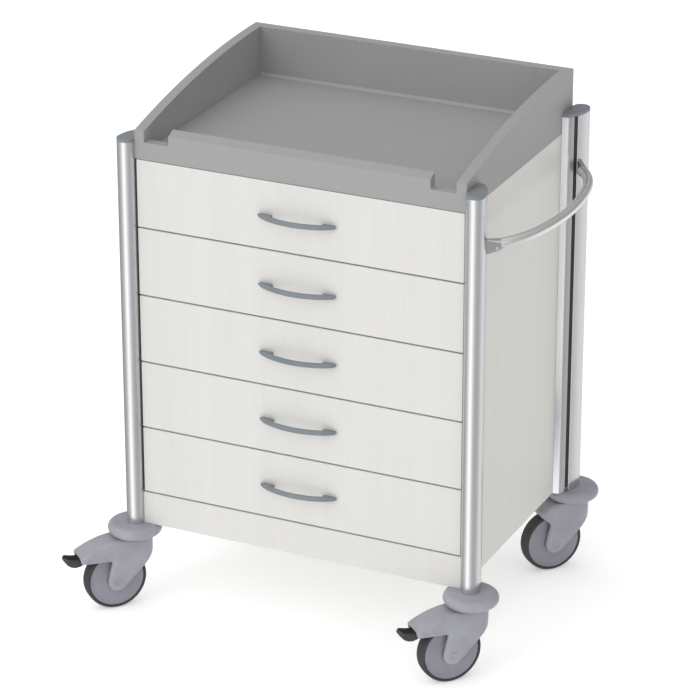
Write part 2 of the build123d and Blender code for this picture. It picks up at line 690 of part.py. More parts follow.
def pedal_pin(length, clearance=0.0):
    """Pivot pin, or with a clearance its hole."""
    x, z = PEDAL_PIVOT
    return Pos(x, 0, z) * Rot(90, 0, 0) * Cylinder(PEDAL_PIN / 2 + clearance, length)


def caster_pins(braked):
    """Wheel axle, kingpin and, on a braked caster, the pedal's pivot pin."""
    length = 2 * (FORK_HALF_WIDTH - AXLE_RECESS)
    pins = [Pos(TRAIL, 0, WHEEL_RADIUS) * Rot(90, 0, 0) * Cylinder(AXLE / 2, length)]
    foot = FORK_TOP - KINGPIN_LENGTH
    top = PLATE_BOTTOM + KINGPIN_LENGTH
    pins.append(Pos(0, 0, (foot + top) / 2) * Cylinder(KINGPIN / 2, top - foot - 2 * KINGPIN_END_AIR))
    if braked:
        pins.append(pedal_pin(2 * (FORK_HALF_WIDTH - PEDAL_PIN_RECESS)))
    return pins


def wheel_hub():
    """Dished disc with a rim, on the wheel's own axis."""
    rim = WHEEL_RADIUS - TYRE_THICKNESS
    face = WHEEL_WIDTH / 2 - HUB_RECESS
    dish = WHEEL_WIDTH / 2 - HUB_DISH
    lower = [
        (AXLE / 2 + RUNNING_FIT, -face),
        (HUB_BOSS, -face),
        (HUB_BOSS_FOOT, -dish),
        (rim - HUB_RIM_FOOT, -dish),
        (rim - HUB_RIM, -face),
        (rim, -face),
    ]
    upper = [(r, -z) for r, z in reversed(lower)]
    section = make_face(Polyline(*[(r, 0, z) for r, z in lower + upper], close=True))
    return Pos(TRAIL, 0, WHEEL_RADIUS) * Rot(90, 0, 0) * revolve(section, axis=Axis.Z)


def wheel_tyre():
    """Tyre ring with rounded shoulders."""
    ring = Cylinder(WHEEL_RADIUS, WHEEL_WIDTH) - Cylinder(WHEEL_RADIUS - TYRE_THICKNESS, WHEEL_WIDTH)
    outer = ring.edges().filter_by(GeomType.CIRCLE).sort_by(SortBy.RADIUS)[-2:]
    ring = fillet(outer, TYRE_SHOULDER)
    return Pos(TRAIL, 0, WHEEL_RADIUS) * Rot(90, 0, 0) * ring


def pedal_tread():
    """Scooped tongue between two arcs, rounded at its tip in plan."""
    low = from_pivot((4, -6), (26, -14.5), (47, 3.5))
    high = from_pivot((2, 2), (25, -8), (45, 9))
    ends = [Line(low[at], high[at]) for at in (0, -1)]
    curves = [ThreePointArc(*low), ThreePointArc(*high), *ends]
    tongue = stand(make_face(Wire([curve.edge() for curve in curves])), PEDAL_WIDTH / 2)
    plan = Pos(PEDAL_PIVOT[0], 0) * Rectangle(2 * PEDAL_END, PEDAL_WIDTH)
    plan = fillet(plan.vertices().group_by(Axis.X)[-1], PEDAL_TIP_ROUND)
    return tongue & extrude(plan, amount=2 * PEDAL_PIVOT[1])


def brake_pedal():
    """Tread, boss on the pivot and shoe over the tyre."""
    x, z = PEDAL_PIVOT
    boss = Pos(x, 0, z) * Rot(90, 0, 0) * Cylinder(PEDAL_BOSS, PEDAL_WIDTH)
    shoe_side = Polygon(*from_pivot((-5, -5), (-15.5, -9.5), (-11, -14), (3, -7)), align=None)
    shoe = stand(shoe_side, SHOE_WIDTH / 2)
    return pedal_tread() + boss + shoe - pedal_pin(2 * PEDAL_WIDTH, RUNNING_FIT)


def caster_place(side, end):
    return Pos(side * AXIS_X, end * AXIS_Y, 0) * Rot(0, 0, CASTER_YAW)


# ---------------------------------------------------------------- nodes
def write(name, shapes):
    """Move the cabinet-centred shapes to the part's origin and write one STEP file."""
    if not isinstance(shapes, list):
        shapes = [shapes]
    place = Pos(CABINET_X, CABINET_Y, 0)
    solids = [place * solid for shape in shapes for solid in shape.solids()]
    part = solids[0] if len(solids) == 1 else Compound(children=solids)
    export_step(part, f"parts/{name}.step")


def write_cabinet():
    write("side_panel_left", side_panel(-1))
    write("side_panel_right", side_panel(1))
    write("back_panel", back_panel())
    write("bottom_panel", bottom_panel())
    write("plinth_panel", plinth_panel())
    write("top_tray", top_tray())
    for name, (side, end) in CORNERS.items():
        write(f"post_{name}", at_corner(post(), side, end))
    corners = CORNERS.values()
    write("post_caps", [at_corner(post_cap(), *corner) for corner in corners])
    write("channel_strips", [at_corner(post_strip(), *corner) for corner in corners])
    plates = [caster_place(*corner) * caster_plate() for corner in corners]
    stems = [at_corner(post_stem(), *corner) for corner in corners]
    write("caster_plates", [plate + stem for plate, stem in zip(plates, stems)])
    cabinet_members = [slide_pair(index, 0) for index in range(1, DRAWER_COUNT + 1)]
    write("slide_cabinet_members", [member for pair in cabinet_members for member in pair])


def write_rail():
    write("push_rail", push_rail())
    rear = rail_bracket_rear()
    write("rail_brackets", [rear, mirror(rear, about=Plane.XZ)])
    screw = rail_end() * rail_screw(0.0)
    write("rail_screws", [screw, mirror(screw, about=Plane.XZ)])


def write_drawers():
    for index in range(1, DRAWER_COUNT + 1):
        name = f"drawer_{index}"
        write(f"{name}_front", drawer_front(index))
        write(f"{name}_box", drawer_box(index))
        write(f"{name}_handle", [handle_bow(index), handle_screw(index, -1), handle_screw(index, 1)])
        write(f"{name}_slide_middle", slide_pair(index, 1))
        write(f"{name}_slide_inner", slide_pair(index, 2))


def write_casters():
    for name, (side, end) in CORNERS.items():
        braked = end < 0
        place = caster_place(side, end)
        write(f"caster_{name}_fork", place * caster_fork(braked))
        write(f"caster_{name}_pins", [place * pin for pin in caster_pins(braked)])
        write(f"caster_{name}_hub", place * wheel_hub())
        write(f"caster_{name}_tyre", place * wheel_tyre())
        if braked:
            write(f"caster_{name}_pedal", place * brake_pedal())


os.makedirs("parts", exist_ok=True)
write_cabinet()
write_rail()
write_drawers()
write_casters()
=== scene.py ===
# %% [markdown]
# # A clinic instrument cart, dressed for its picture
# The cart is a white laminate cabinet held between four aluminium posts, with a grey moulded top,
# five drawers, a bowed push rail and four swivel casters. The engineering model already says where
# every part is and what it rides on. This notebook gives each part the surface that a maker would
# give it: rounded edges, brushed metal, moulded plastic, rubber. It starts by loading that model.

import json
import math

import bmesh
import bpy
import numpy as np
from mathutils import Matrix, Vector

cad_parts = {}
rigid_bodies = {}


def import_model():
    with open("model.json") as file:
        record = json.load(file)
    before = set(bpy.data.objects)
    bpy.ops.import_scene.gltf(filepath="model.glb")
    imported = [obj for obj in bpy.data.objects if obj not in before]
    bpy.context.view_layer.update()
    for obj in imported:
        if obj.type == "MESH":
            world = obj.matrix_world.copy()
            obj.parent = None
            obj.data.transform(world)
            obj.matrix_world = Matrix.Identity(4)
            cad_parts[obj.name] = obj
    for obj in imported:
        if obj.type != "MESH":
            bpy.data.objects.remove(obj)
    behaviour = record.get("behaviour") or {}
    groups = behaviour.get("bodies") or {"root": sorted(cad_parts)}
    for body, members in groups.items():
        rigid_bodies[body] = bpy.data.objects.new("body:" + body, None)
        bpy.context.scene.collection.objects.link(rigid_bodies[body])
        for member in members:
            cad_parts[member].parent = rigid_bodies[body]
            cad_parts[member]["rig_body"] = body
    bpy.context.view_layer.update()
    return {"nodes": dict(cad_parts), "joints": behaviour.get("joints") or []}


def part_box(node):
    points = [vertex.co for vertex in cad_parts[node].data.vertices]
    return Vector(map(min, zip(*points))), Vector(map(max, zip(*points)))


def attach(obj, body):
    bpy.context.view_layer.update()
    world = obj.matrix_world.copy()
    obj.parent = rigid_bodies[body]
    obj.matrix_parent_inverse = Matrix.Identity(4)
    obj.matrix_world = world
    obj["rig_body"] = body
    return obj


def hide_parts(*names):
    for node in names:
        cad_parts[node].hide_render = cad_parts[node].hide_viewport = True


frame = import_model()
MM = 0.001

# %% [markdown]
# ## Where things are
# Nothing is placed by eye. The tray's box gives the cabinet's middle, the posts' boxes give the
# corners, and the joints give the caster axes, so a change in the frame moves every piece with it.

# %% Landmarks of the cabinet
tray_low, tray_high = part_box("top_tray")
side_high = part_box("side_panel_right")[1]
middle_x = (tray_low.x + tray_high.x) / 2
middle_y = (tray_low.y + tray_high.y) / 2
corners = {"front_left": (-1, -1), "front_right": (1, -1), "rear_left": (-1, 1), "rear_right": (1, 1)}
fronts = [name for name in frame["nodes"] if name.startswith("drawer_") and name.endswith("_front")]
drawers = sorted(name.removesuffix("_front") for name in fronts)
joints = {joint["name"]: joint for joint in frame["joints"]}
print("cabinet middle", round(middle_x, 4), round(middle_y, 4), "drawers", len(drawers))

# %% [markdown]
# ## Camera
# A long lens far away flattens perspective, which is how catalogue pictures of furniture are taken.
# The camera sits on a line through the cart's middle, turned to the right and raised, and looks
# back along that line.

# %% Camera
VIEW_AZIMUTH = math.radians(24.958)
VIEW_ELEVATION = math.radians(23.465)
VIEW_DISTANCE = 6.6
AIM = Vector((0.0529, -0.0855, 0.5557))
LENS = 179.66
SENSOR = 36.0


def add_camera():
    """Camera on the aim point's back line: sin/cos of azimuth and elevation, times the distance."""
    data = bpy.data.cameras.new("catalogue_camera")
    data.lens = LENS
    data.sensor_width = SENSOR
    data.clip_end = 60.0
    camera = bpy.data.objects.new("catalogue_camera", data)
    back = Vector((
        math.sin(VIEW_AZIMUTH) * math.cos(VIEW_ELEVATION),
        -math.cos(VIEW_AZIMUTH) * math.cos(VIEW_ELEVATION),
        math.sin(VIEW_ELEVATION),
    ))
    camera.location = AIM + back * VIEW_DISTANCE
    camera.rotation_euler = (math.pi / 2 - VIEW_ELEVATION, 0, VIEW_AZIMUTH)
    bpy.context.scene.collection.objects.link(camera)
    bpy.context.scene.camera = camera
    return camera


camera = add_camera()
print("camera at", [round(v, 3) for v in camera.location])

# %% [markdown]
# ## Shader maths as Python
# A material is a graph of nodes. Written node by node it is long and hard to read, so one small
# class wraps a socket: adding or multiplying two wrapped sockets adds the Math node that does it.
# `Finish.node` makes any other node from its type, its settings and what goes into its sockets.


# %% Socket arithmetic and the Finish class
class Flow:
    """A value that runs between shader nodes; operators on it add Math nodes."""

    def __init__(self, finish, socket):
        self.finish = finish
        self.socket = socket

    def _math(self, operation, first, second):
        return self.finish.node("ShaderNodeMath", {"operation": operation}, {0: first, 1: second})

    def __add__(self, other):
        return self._math("ADD", self, other)

    def __radd__(self, other):
        return self._math("ADD", other, self)

    def __sub__(self, other):
        return self._math("SUBTRACT", self, other)

    def __rsub__(self, other):
        return self._math("SUBTRACT", other, self)

    def __mul__(self, other):
        return self._math("MULTIPLY", self, other)

    def __rmul__(self, other):
        return self._math("MULTIPLY", other, self)


class Finish:
    """A material under construction, with its Principled shader at hand."""

    def __init__(self, name, **fixed):
        self.material = bpy.data.materials.new(name)
        self.material.use_nodes = True
        self.tree = self.material.node_tree
        self.shader = self.tree.nodes["Principled BSDF"]
        for key, value in fixed.items():
            self.shader.inputs[key.replace("_", " ")].default_value = value

    def node(self, kind, settings, links, output=0):
        """Add a node: settings first, then a value or a wrapped socket for each input."""
        node = self.tree.nodes.new(kind)
        for key, value in settings.items():
            setattr(node, key, value)
        for key, value in links.items():
            self._feed(node.inputs[key], value)
        return Flow(self, node.outputs[output])

    def _feed(self, socket, value):
        if isinstance(value, Flow):
            self.tree.links.new(value.socket, socket)
        else:
            socket.default_value = value

    def coords(self, scale):
        """Object coordinates times a scale, so one unit is 1 / scale metres."""
        where = self.node("ShaderNodeTexCoord", {}, {}, "Object")
        return self.node("ShaderNodeMapping", {"vector_type": "POINT"}, {"Vector": where, "Scale": scale})

    def noise(self, where, detail=2.0, roughness=0.5):
        """Cloudy noise between 0 and 1, one cloud per unit."""
        links = {"Vector": where, "Scale": 1.0, "Detail": detail, "Roughness": roughness}
        return self.node("ShaderNodeTexNoise", {}, links)

    def spread(self, value, low, high):
        """Stretch the value's middle range, 0.35 to 0.65, to low and high."""
        return self.node(
            "ShaderNodeMapRange",
            {"clamp": True},
            {"Value": value, "From Min": 0.35, "From Max": 0.65, "To Min": low, "To Max": high},
        )

    def mix(self, amount, first, second):
        """Colour that goes from first to second as amount goes from 0 to 1."""
        return self.node("ShaderNodeMix", {"data_type": "RGBA"}, {0: amount, 6: first, 7: second}, 2)

    def paint(self, name, value):
        self._feed(self.shader.inputs[name], value)

    def shade(self, value, dark, light):
        """Base colour that goes from dark to light over the value's middle range."""
        self.paint("Base Color", self.mix(self.spread(value, 0.0, 1.0), dark, light))

    def bump(self, height, distance):
        """Small relief: height times distance, in metres."""
        self.paint("Normal", self.node("ShaderNodeBump", {}, {"Distance": distance, "Height": height}))


def tint(red, green, blue):
    """Screen colour, 0 to 255, as the light it stands for."""
    share = np.array([red, green, blue]) / 255.0
    light = np.where(share <= 0.04045, share / 12.92, ((share + 0.055) / 1.055) ** 2.4)
    return (*[float(v) for v in light], 1.0)


print("shader helpers ready")

# %% [markdown]
# ## Finishes
# Each finish below is one real material. What you see on a good catalogue part is mostly small
# variation: a laminate's faint vertical grain, the fine long lines left by an aluminium die, the
# orange-peel of moulded nylon. Each is a noise stretched the way the process stretches it.


# %% Laminate board
def laminate_finish():
    """Melamine board: near white, fine upright grain, soft sheen."""
    f = Finish("laminate_white", Specular_IOR_Level=0.35)
    fibres = f.noise(f.coords((420, 420, 9)), 3.0, 0.6)
    bands = f.noise(f.coords((38, 38, 0.9)), 2.0)
    grain = fibres * 0.6 + bands * 0.4
    f.shade(grain, tint(209, 208, 204), tint(214, 213, 209))
    f.paint("Roughness", f.spread(fibres, 0.42, 0.52))
    stipple = f.noise(f.coords((900, 900, 260)), 1.0)
    f.bump(stipple * 0.6 + fibres * 0.4, 0.00003)
    return f.material


# %% Grey tray
def tray_finish():
    """Through-coloured grey top: even, matt, with a faint cloud and a fine stipple."""
    f = Finish("tray_grey", Specular_IOR_Level=0.35)
    cloud = f.noise(f.coords((7, 7, 7)), 3.0)
    streak = f.noise(f.coords((260, 8, 8)), 2.0)
    f.shade(cloud * 0.5 + streak * 0.5, tint(152, 152, 152), tint(155, 155, 155))
    f.paint("Roughness", f.spread(cloud, 0.44, 0.54))
    f.bump(f.noise(f.coords((1100, 1100, 1100)), 1.0), 0.00003)
    return f.material


# %% Anodised aluminium
def anodised_finish():
    """Extruded and anodised: die lines along Z, satin metal."""
    f = Finish("anodised_aluminium", Metallic=0.92)
    lines = f.noise(f.coords((2600, 2600, 1.2)), 1.0, 0.5)
    haze = f.noise(f.coords((30, 30, 4)), 2.0)
    f.shade(lines, tint(202, 202, 204), tint(207, 207, 209))
    f.paint("Roughness", f.spread(haze * 0.6 + lines * 0.4, 0.20, 0.27))
    f.bump(lines, 0.000002)
    return f.material


# %% Bent and brushed tube
def rail_finish(name, dark, light, metal):
    """Satin aluminium tube: fine cloudy brushing, no direction of its own once bent."""
    f = Finish(name, Metallic=metal)
    brush = f.noise(f.coords((2600, 500, 2600)), 1.0, 0.5)
    f.shade(brush, dark, light)
    f.paint("Roughness", f.spread(brush, 0.17, 0.22))
    f.bump(brush, 0.0000015)
    return f.material


# %% Zinc-plated steel
def zinc_finish():
    """Bright zinc plate: bluish, with the patchy spangle of a passivated surface."""
    f = Finish("zinc_plate", Metallic=1.0)
    spangle = f.noise(f.coords((160, 160, 160)), 3.0)
    f.shade(spangle, tint(198, 201, 205), tint(207, 209, 211))
    f.paint("Roughness", f.spread(spangle, 0.28, 0.33))
    return f.material


# %% Moulded plastics, lacquer and rubber
def moulded_finish(name, dark, light, rough, relief, grain=700):
    """Moulded surface: two close shades in soft clouds and an even spark-eroded grain."""
    f = Finish(name, Specular_IOR_Level=0.4)
    cloud = f.noise(f.coords((22, 22, 22)), 2.0)
    stipple = f.noise(f.coords((grain, grain, grain)), 1.0)
    f.shade(cloud, dark, light)
    f.paint("Roughness", f.spread(cloud * 0.5 + stipple * 0.5, rough - 0.05, rough + 0.05))
    f.bump(stipple, relief)
    return f.material


laminate = laminate_finish()
tray_grey = tray_finish()
anodised = anodised_finish()
rail_metal = rail_finish("rail_aluminium", tint(222, 222, 223), tint(227, 227, 228), 0.85)
zinc = zinc_finish()
caster_nylon = moulded_finish("caster_nylon", tint(150, 150, 160), tint(159, 159, 169), 0.42, 0.00003)
hub_nylon = moulded_finish("hub_nylon", tint(137, 137, 147), tint(143, 143, 153), 0.40, 0.00003)
tyre_rubber = moulded_finish("tyre_rubber", tint(55, 55, 57), tint(62, 62, 64), 0.62, 0.00006)
pedal_nylon = moulded_finish("pedal_nylon", tint(58, 58, 60), tint(66, 66, 68), 0.50, 0.00005)
cap_nylon = moulded_finish("cap_nylon", tint(120, 126, 132), tint(127, 133, 138), 0.42, 0.00003)
handle_lacquer = moulded_finish(
    "handle_lacquer", tint(116, 124, 129), tint(122, 130, 134), 0.22, 0.00001, grain=1200
)
bracket_metal = rail_finish("bracket_aluminium", tint(176, 176, 177), tint(181, 181, 182), 0.75)
# Near-black finish for the groove strips: painted shade that stands in for the shadow inside each post's
# groove.
painted_groove_shade = moulded_finish("painted_groove_shade", tint(40, 40, 41), tint(50, 50, 51), 0.55, 0.00003)
box_plastic = moulded_finish("box_plastic", tint(216, 216, 213), tint(219, 219, 216), 0.40, 0.00003)
print("finishes:", len(bpy.data.materials))

# %% [markdown]
# ## From grids of points to meshes
# Most shapes here are a profile carried along a path. Worked out with whole arrays, that is a grid
# of points: one row for each station on the path, one column for each point of the profile. One
# function joins such grids into a closed mesh that faces outwards, hides the engineering nodes that
# it stands for, and rides on their body.


# %% Grids to a finished piece
def grid_faces(rows, columns, ring, ends):
    """Four-sided faces between neighbours; columns close on themselves, rows too if ring is set."""
    index = np.arange(rows * columns).reshape(rows, columns)
    index = np.hstack([index, index[:, :1]])
    if ring:
        index = np.vstack([index, index[:1]])
    corners_of = [index[:-1, :-1], index[:-1, 1:], index[1:, 1:], index[1:, :-1]]
    faces = np.stack(corners_of, -1).reshape(-1, 4).tolist()
    if ends and not ring:
        faces += [index[0, :-1][::-1].tolist(), index[-1, :-1].tolist()]
    return faces


def join_grids(grids, ring=False, ends=True):
    """Several grids as one list of points and one list of faces."""
    points = []
    faces = []
    start = 0
    for grid in grids:
        rows, columns = grid.shape[:2]
        faces += [[v + start for v in face] for face in grid_faces(rows, columns, ring, ends)]
        points.append(grid.reshape(-1, 3))
        start += rows * columns
    return np.vstack(points), faces


def clean_mesh(mesh):
    """Merge doubles, then turn every face outwards."""
    work = bmesh.new()
    work.from_mesh(mesh)
    bmesh.ops.remove_doubles(work, verts=work.verts, dist=1e-6)
    bmesh.ops.dissolve_degenerate(work, edges=work.edges, dist=1e-7)
    bmesh.ops.recalc_face_normals(work, faces=work.faces)
    work.to_mesh(mesh)
    work.free()


def dress(name, mesh, material, nodes, sharp=35.0, flats=True):
    """Put a mesh in the scene as the piece that stands for the nodes, on their body."""
    mesh.materials.clear()
    mesh.materials.append(material)
    mesh.shade_smooth()
    mesh.set_sharp_from_angle(angle=math.radians(sharp))
    piece = bpy.data.objects.new(name, mesh)
    bpy.context.scene.collection.objects.link(piece)
    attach(piece, frame["nodes"][nodes[0]]["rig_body"])
    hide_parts(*nodes)
    if flats:
        even = piece.modifiers.new("even_normals", "WEIGHTED_NORMAL")
        even.keep_sharp = True
    return piece


def surface_piece(name, grids, material, nodes, ring=False, ends=True, sharp=35.0, flats=True):
    """Piece made of one or more grids."""
    points, faces = join_grids(grids, ring, ends)
    mesh = bpy.data.meshes.new(name)
    mesh.from_pydata(points.tolist(), [], faces)
    clean_mesh(mesh)
    return dress(name, mesh, material, nodes, sharp, flats)


def eased_copy(name, node, width, steps, material, angle=35.0):
    """Copy of an engineering mesh, merged, its flat triangles joined, its edges rounded by a Bevel."""
    mesh = frame["nodes"][node].data.copy()
    mesh.name = name
    work = bmesh.new()
    work.from_mesh(mesh)
    bmesh.ops.remove_doubles(work, verts=work.verts, dist=1e-5)
    flat = math.radians(0.6)
    bmesh.ops.dissolve_limit(work, angle_limit=flat, verts=work.verts, edges=work.edges)
    bmesh.ops.recalc_face_normals(work, faces=work.faces)
    work.to_mesh(mesh)
    work.free()
    piece = dress(name, mesh, material, [node], sharp=angle, flats=False)
    if width:
        ease = piece.modifiers.new("eased_edges", "BEVEL")
        ease.width = width
        ease.segments = steps
        ease.limit_method = "ANGLE"
        ease.angle_limit = math.radians(angle)
        ease.harden_normals = True
    return piece


def refinish(node, material):
    """Keep an engineering node's own shape and give it a real finish."""
    piece = frame["nodes"][node]
    piece.data.materials.clear()
    piece.data.materials.append(material)


print("piece helpers ready")

# %% [markdown]
# ## Basic forms
# Four small forms make up nearly all of the cart: a board with eased edges, an arc through three
# points, a turned part, and a rounded section whose squareness can change along a path.


# %% Board, arc, turning and rounded section
def eased_board(low, high, radius, steps=3):
    """Box with rounded edges: a ball's directions, each octant pushed out to its own corner.

    point = middle + sign * (half size - radius) + direction * radius
    """
    quarter = np.linspace(0, np.pi / 2, steps + 1)
    around = np.concatenate([quarter + turn * np.pi / 2 for turn in range(4)])
    rise = np.concatenate([quarter - np.pi / 2, quarter])
    east = np.repeat([1.0, -1.0, -1.0, 1.0], steps + 1)
    north = np.repeat([1.0, 1.0, -1.0, -1.0], steps + 1)
    up = np.repeat([-1.0, 1.0], steps + 1)
    flat = np.ones_like(around)
    direction = np.stack([
        np.cos(rise)[:, None] * np.cos(around),
        np.cos(rise)[:, None] * np.sin(around),
        np.sin(rise)[:, None] * flat,
    ], -1)
    ones = np.ones_like(rise)[:, None]
    sign = np.stack([ones * east, ones * north, up[:, None] * flat], -1)
    low, high = np.array(low), np.array(high)
    return (low + high) / 2 + sign * ((high - low) / 2 - radius) + direction * radius


def arc_through(first, middle, last, steps):
    """Points of the circle through three plane points, from the first to the last."""
    a, b, c = (np.array(p, float) for p in (first, middle, last))
    sides = np.array([b - a, c - a])
    centre = a + np.linalg.solve(2 * sides, (sides**2).sum(1))
    angles = [math.atan2(*(p - centre)[::-1]) for p in (a, b, c)]
    sweep = (angles[2] - angles[0]) % (2 * np.pi)
    if (angles[1] - angles[0]) % (2 * np.pi) > sweep:
        sweep -= 2 * np.pi
    turn = angles[0] + np.linspace(0, 1, steps) * sweep
    return centre + np.linalg.norm(a - centre) * np.stack([np.cos(turn), np.sin(turn)], -1)


def turned(profile, steps, centre=(0, 0, 0), axis=(0, 0, 1)):
    """Turn (radius, along) points about an axis: centre + axis * along + radius * (u cos a + v sin a)."""
    axis = np.array(axis, float) / np.linalg.norm(axis)
    helper = np.array([0.0, 0.0, 1.0]) if abs(axis[2]) < 0.9 else np.array([1.0, 0.0, 0.0])
    u = np.cross(helper, axis)
    u /= np.linalg.norm(u)
    v = np.cross(axis, u)
    angle = np.linspace(0, 2 * np.pi, steps, endpoint=False)
    ring = np.cos(angle)[:, None] * u + np.sin(angle)[:, None] * v
    profile = np.array(profile, float)
    return np.array(centre) + profile[:, :1, None] * ring + profile[:, 1:, None] * axis


def rounded_ring(steps, squareness):
    """Unit closed curve from circle (2) to square: cos and sin, each to the power 2 / squareness."""
    angle = np.linspace(0, 2 * np.pi, steps, endpoint=False)
    share = 2.0 / squareness
    across = np.sign(np.cos(angle)) * np.abs(np.cos(angle)) ** share
    up = np.sign(np.sin(angle)) * np.abs(np.sin(angle)) ** share
    return across, up


def fillet_profile(corners_with_round, steps=6):
    """Open outline of (x, y, round) corners with a smooth curve in place of each rounded corner."""
    spots = np.array(corners_with_round, float)
    bend = np.linspace(0, 1, steps)[:, None]
    parts = [spots[:1, :2]]
    for before, here, after in zip(spots[:-2], spots[1:-1], spots[2:]):
        if here[2] == 0:
            parts.append(here[None, :2])
            continue
        ahead = after[:2] - here[:2]
        behind = before[:2] - here[:2]
        start = here[:2] + behind / np.linalg.norm(behind) * here[2]
        end = here[:2] + ahead / np.linalg.norm(ahead) * here[2]
        parts.append(start * (1 - bend) ** 2 + here[:2] * 2 * bend * (1 - bend) + end * bend**2)
    parts.append(spots[-1:, :2])
    return np.vstack(parts)


print("forms ready")

# %% [markdown]
# ## Cabinet boards
# The boards are melamine-faced panels. A machine-banded edge is never a razor edge: a small round
# catches the light and is what tells the eye that five drawers are five boards. The rounds are made
# as geometry, so they hold up from close by, and the big flats keep their true normals.

# %% Fronts, plinth and carcass
BAND_ROUND = 1.2 * MM
CARCASS_ROUND = 0.5 * MM

for drawer in drawers:
    low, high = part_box(drawer + "_front")
    front = eased_board(low, high, BAND_ROUND)
    surface_piece(drawer + "_board", [front], laminate, [drawer + "_front"])
low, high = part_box("plinth_panel")
surface_piece("plinth_board", [eased_board(low, high, BAND_ROUND)], laminate, ["plinth_panel"])
for panel in ("side_panel_left", "side_panel_right", "back_panel", "bottom_panel"):
    low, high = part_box(panel)
    board = eased_board(low, high, CARCASS_ROUND, 2)
    surface_piece(panel + "_board", [board], laminate, [panel])
print("boards:", len(drawers) + 5)

# %% [markdown]
# ## Top tray
# The tray is one moulding: a floor, arched side walls that rise to a tall rear wall, and a low lip at
# the front between two finger notches. Its outline is already right in the engineering model, so a
# merged copy takes a Bevel that softens every edge by the amount a mould would.

# %% Tray
tray = eased_copy("tray_moulding", "top_tray", 1.6 * MM, 3, tray_grey, 30.0)
print("tray faces:", len(tray.data.polygons))

# %% [markdown]
# ## Corner posts
# Each post is an aluminium extrusion: round at the nose, swept back like a wing to a blunt heel, with
# a T-groove for accessories. An extrusion is one outline carried up, so the outline holds all the
# detail, down to the fine step beside the heel and the eased lips of the groove.

# %% Post outline
HEEL_OUT = 13.0 * MM
HEEL_BACK = 53.0 * MM
GROOVE_BACK = 39.5 * MM
GROOVE_HALF = 3.5 * MM
GROOVE_DEPTH = 6.5 * MM
LIP = 0.4 * MM
STEP_BACK = 49.6 * MM
STEP_HALF = 0.55 * MM
STEP_DEPTH = 0.9 * MM


def post_outline(width, tail, grooved):
    """Plan of the front right post: nose half circle, wing arc with its groove, heel, flat back.

    The wing's arc leaves the nose straight back and passes through the heel, so its radius is
    (step squared + length squared) / (2 * step), with the step from nose width to heel width.
    """
    nose = width / 2
    step = width - HEEL_OUT
    radius = (step**2 + HEEL_BACK**2) / (2 * step)
    half_turn = np.linspace(np.pi, 2 * np.pi, 29)
    nose_points = np.stack([nose + nose * np.cos(half_turn), nose * np.sin(half_turn)], -1)

    def wing(back, inset=0.0):
        turn = np.arcsin(np.atleast_1d(back) / radius)
        reach = radius - inset
        return np.stack([width - radius + reach * np.cos(turn), reach * np.sin(turn)], -1)

    if grooved:
        near, far = GROOVE_BACK - GROOVE_HALF, GROOVE_BACK + GROOVE_HALF
        run = [
            wing(np.linspace(3 * MM, near - LIP, 14)),
            wing(near, LIP),
            wing([near, far], GROOVE_DEPTH),
            wing(far, LIP),
            wing(np.linspace(far + LIP, STEP_BACK - STEP_HALF, 4)),
            wing(STEP_BACK, STEP_DEPTH),
            wing(np.linspace(STEP_BACK + STEP_HALF, HEEL_BACK - 1.0 * MM, 2)),
        ]
    else:
        run = [wing(np.linspace(3 * MM, HEEL_BACK - 1.0 * MM, 20))]
    heel = fillet_profile(
        [(*run[-1][-1], 0),
         (HEEL_OUT, HEEL_BACK, 0.9 * MM),
         (0.6 * MM, tail - 0.14 * MM, 0),
         (0, tail - 0.6 * MM, 0)], 4
    )[1:]
    return np.vstack([nose_points, *run, heel])


def at_post(outline, corner):
    """Local outline to the frame: mirrored for the corner and set at its panel and nose centre."""
    low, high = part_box("post_" + corner)
    side, end = corners[corner]
    nose = (high.x - low.x) / 2
    x = (low.x if side > 0 else high.x) + side * outline[:, 0]
    y = (low.y + nose if end < 0 else high.y - nose) - end * outline[:, 1]
    return np.stack([x, y], -1)


def raised(outline, height):
    """Plan outline at a height."""
    return np.hstack([outline, np.full((len(outline), 1), height)])


# %% Posts
for corner in corners:
    low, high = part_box("post_" + corner)
    outline = at_post(post_outline(high.x - low.x, high.y - low.y - (high.x - low.x) / 2, True), corner)
    column = np.stack([raised(outline, low.z), raised(outline, high.z)])
    name = "post_" + corner
    surface_piece(name + "_extrusion", [column], anodised, [name], sharp=28.0)
print("posts:", len(corners))

# %% [markdown]
# ## Post caps
# A cap is a nylon moulding with the post's own outline, plugged into its bore. Its top edge is
# rounded by drawing the outline in along its own normals while it rises.


# %% Caps
def drawn_in(outline, distance):
    """Closed outline moved inwards: each point along the mean normal of its two edges."""
    ahead = np.roll(outline, -1, 0) - outline
    behind = outline - np.roll(outline, 1, 0)
    along = ahead / np.linalg.norm(ahead, axis=1)[:, None]
    along += behind / np.linalg.norm(behind, axis=1)[:, None]
    along /= np.linalg.norm(along, axis=1)[:, None]
    inward = np.stack([-along[:, 1], along[:, 0]], -1)
    return outline + inward * distance


CAP_ROUND = 0.9 * MM
caps = []
for corner in corners:
    low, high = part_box("post_" + corner)
    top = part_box("post_caps")[1].z
    local = post_outline(high.x - low.x, high.y - low.y - (high.x - low.x) / 2, False)
    bend = np.linspace(0, np.pi / 2, 6)
    rows = [raised(at_post(drawn_in(local, 0.25 * MM), corner), high.z)]
    rows.append(raised(at_post(local, corner), high.z + 0.3 * MM))
    for turn in bend:
        inset = CAP_ROUND * (1 - math.cos(turn))
        height = top - CAP_ROUND * (1 - math.sin(turn))
        rows.append(raised(at_post(drawn_in(local, inset), corner), height))
    caps.append(np.stack(rows))
surface_piece("post_cap_set", caps, cap_nylon, ["post_caps"], sharp=50.0)
print("caps:", len(caps))
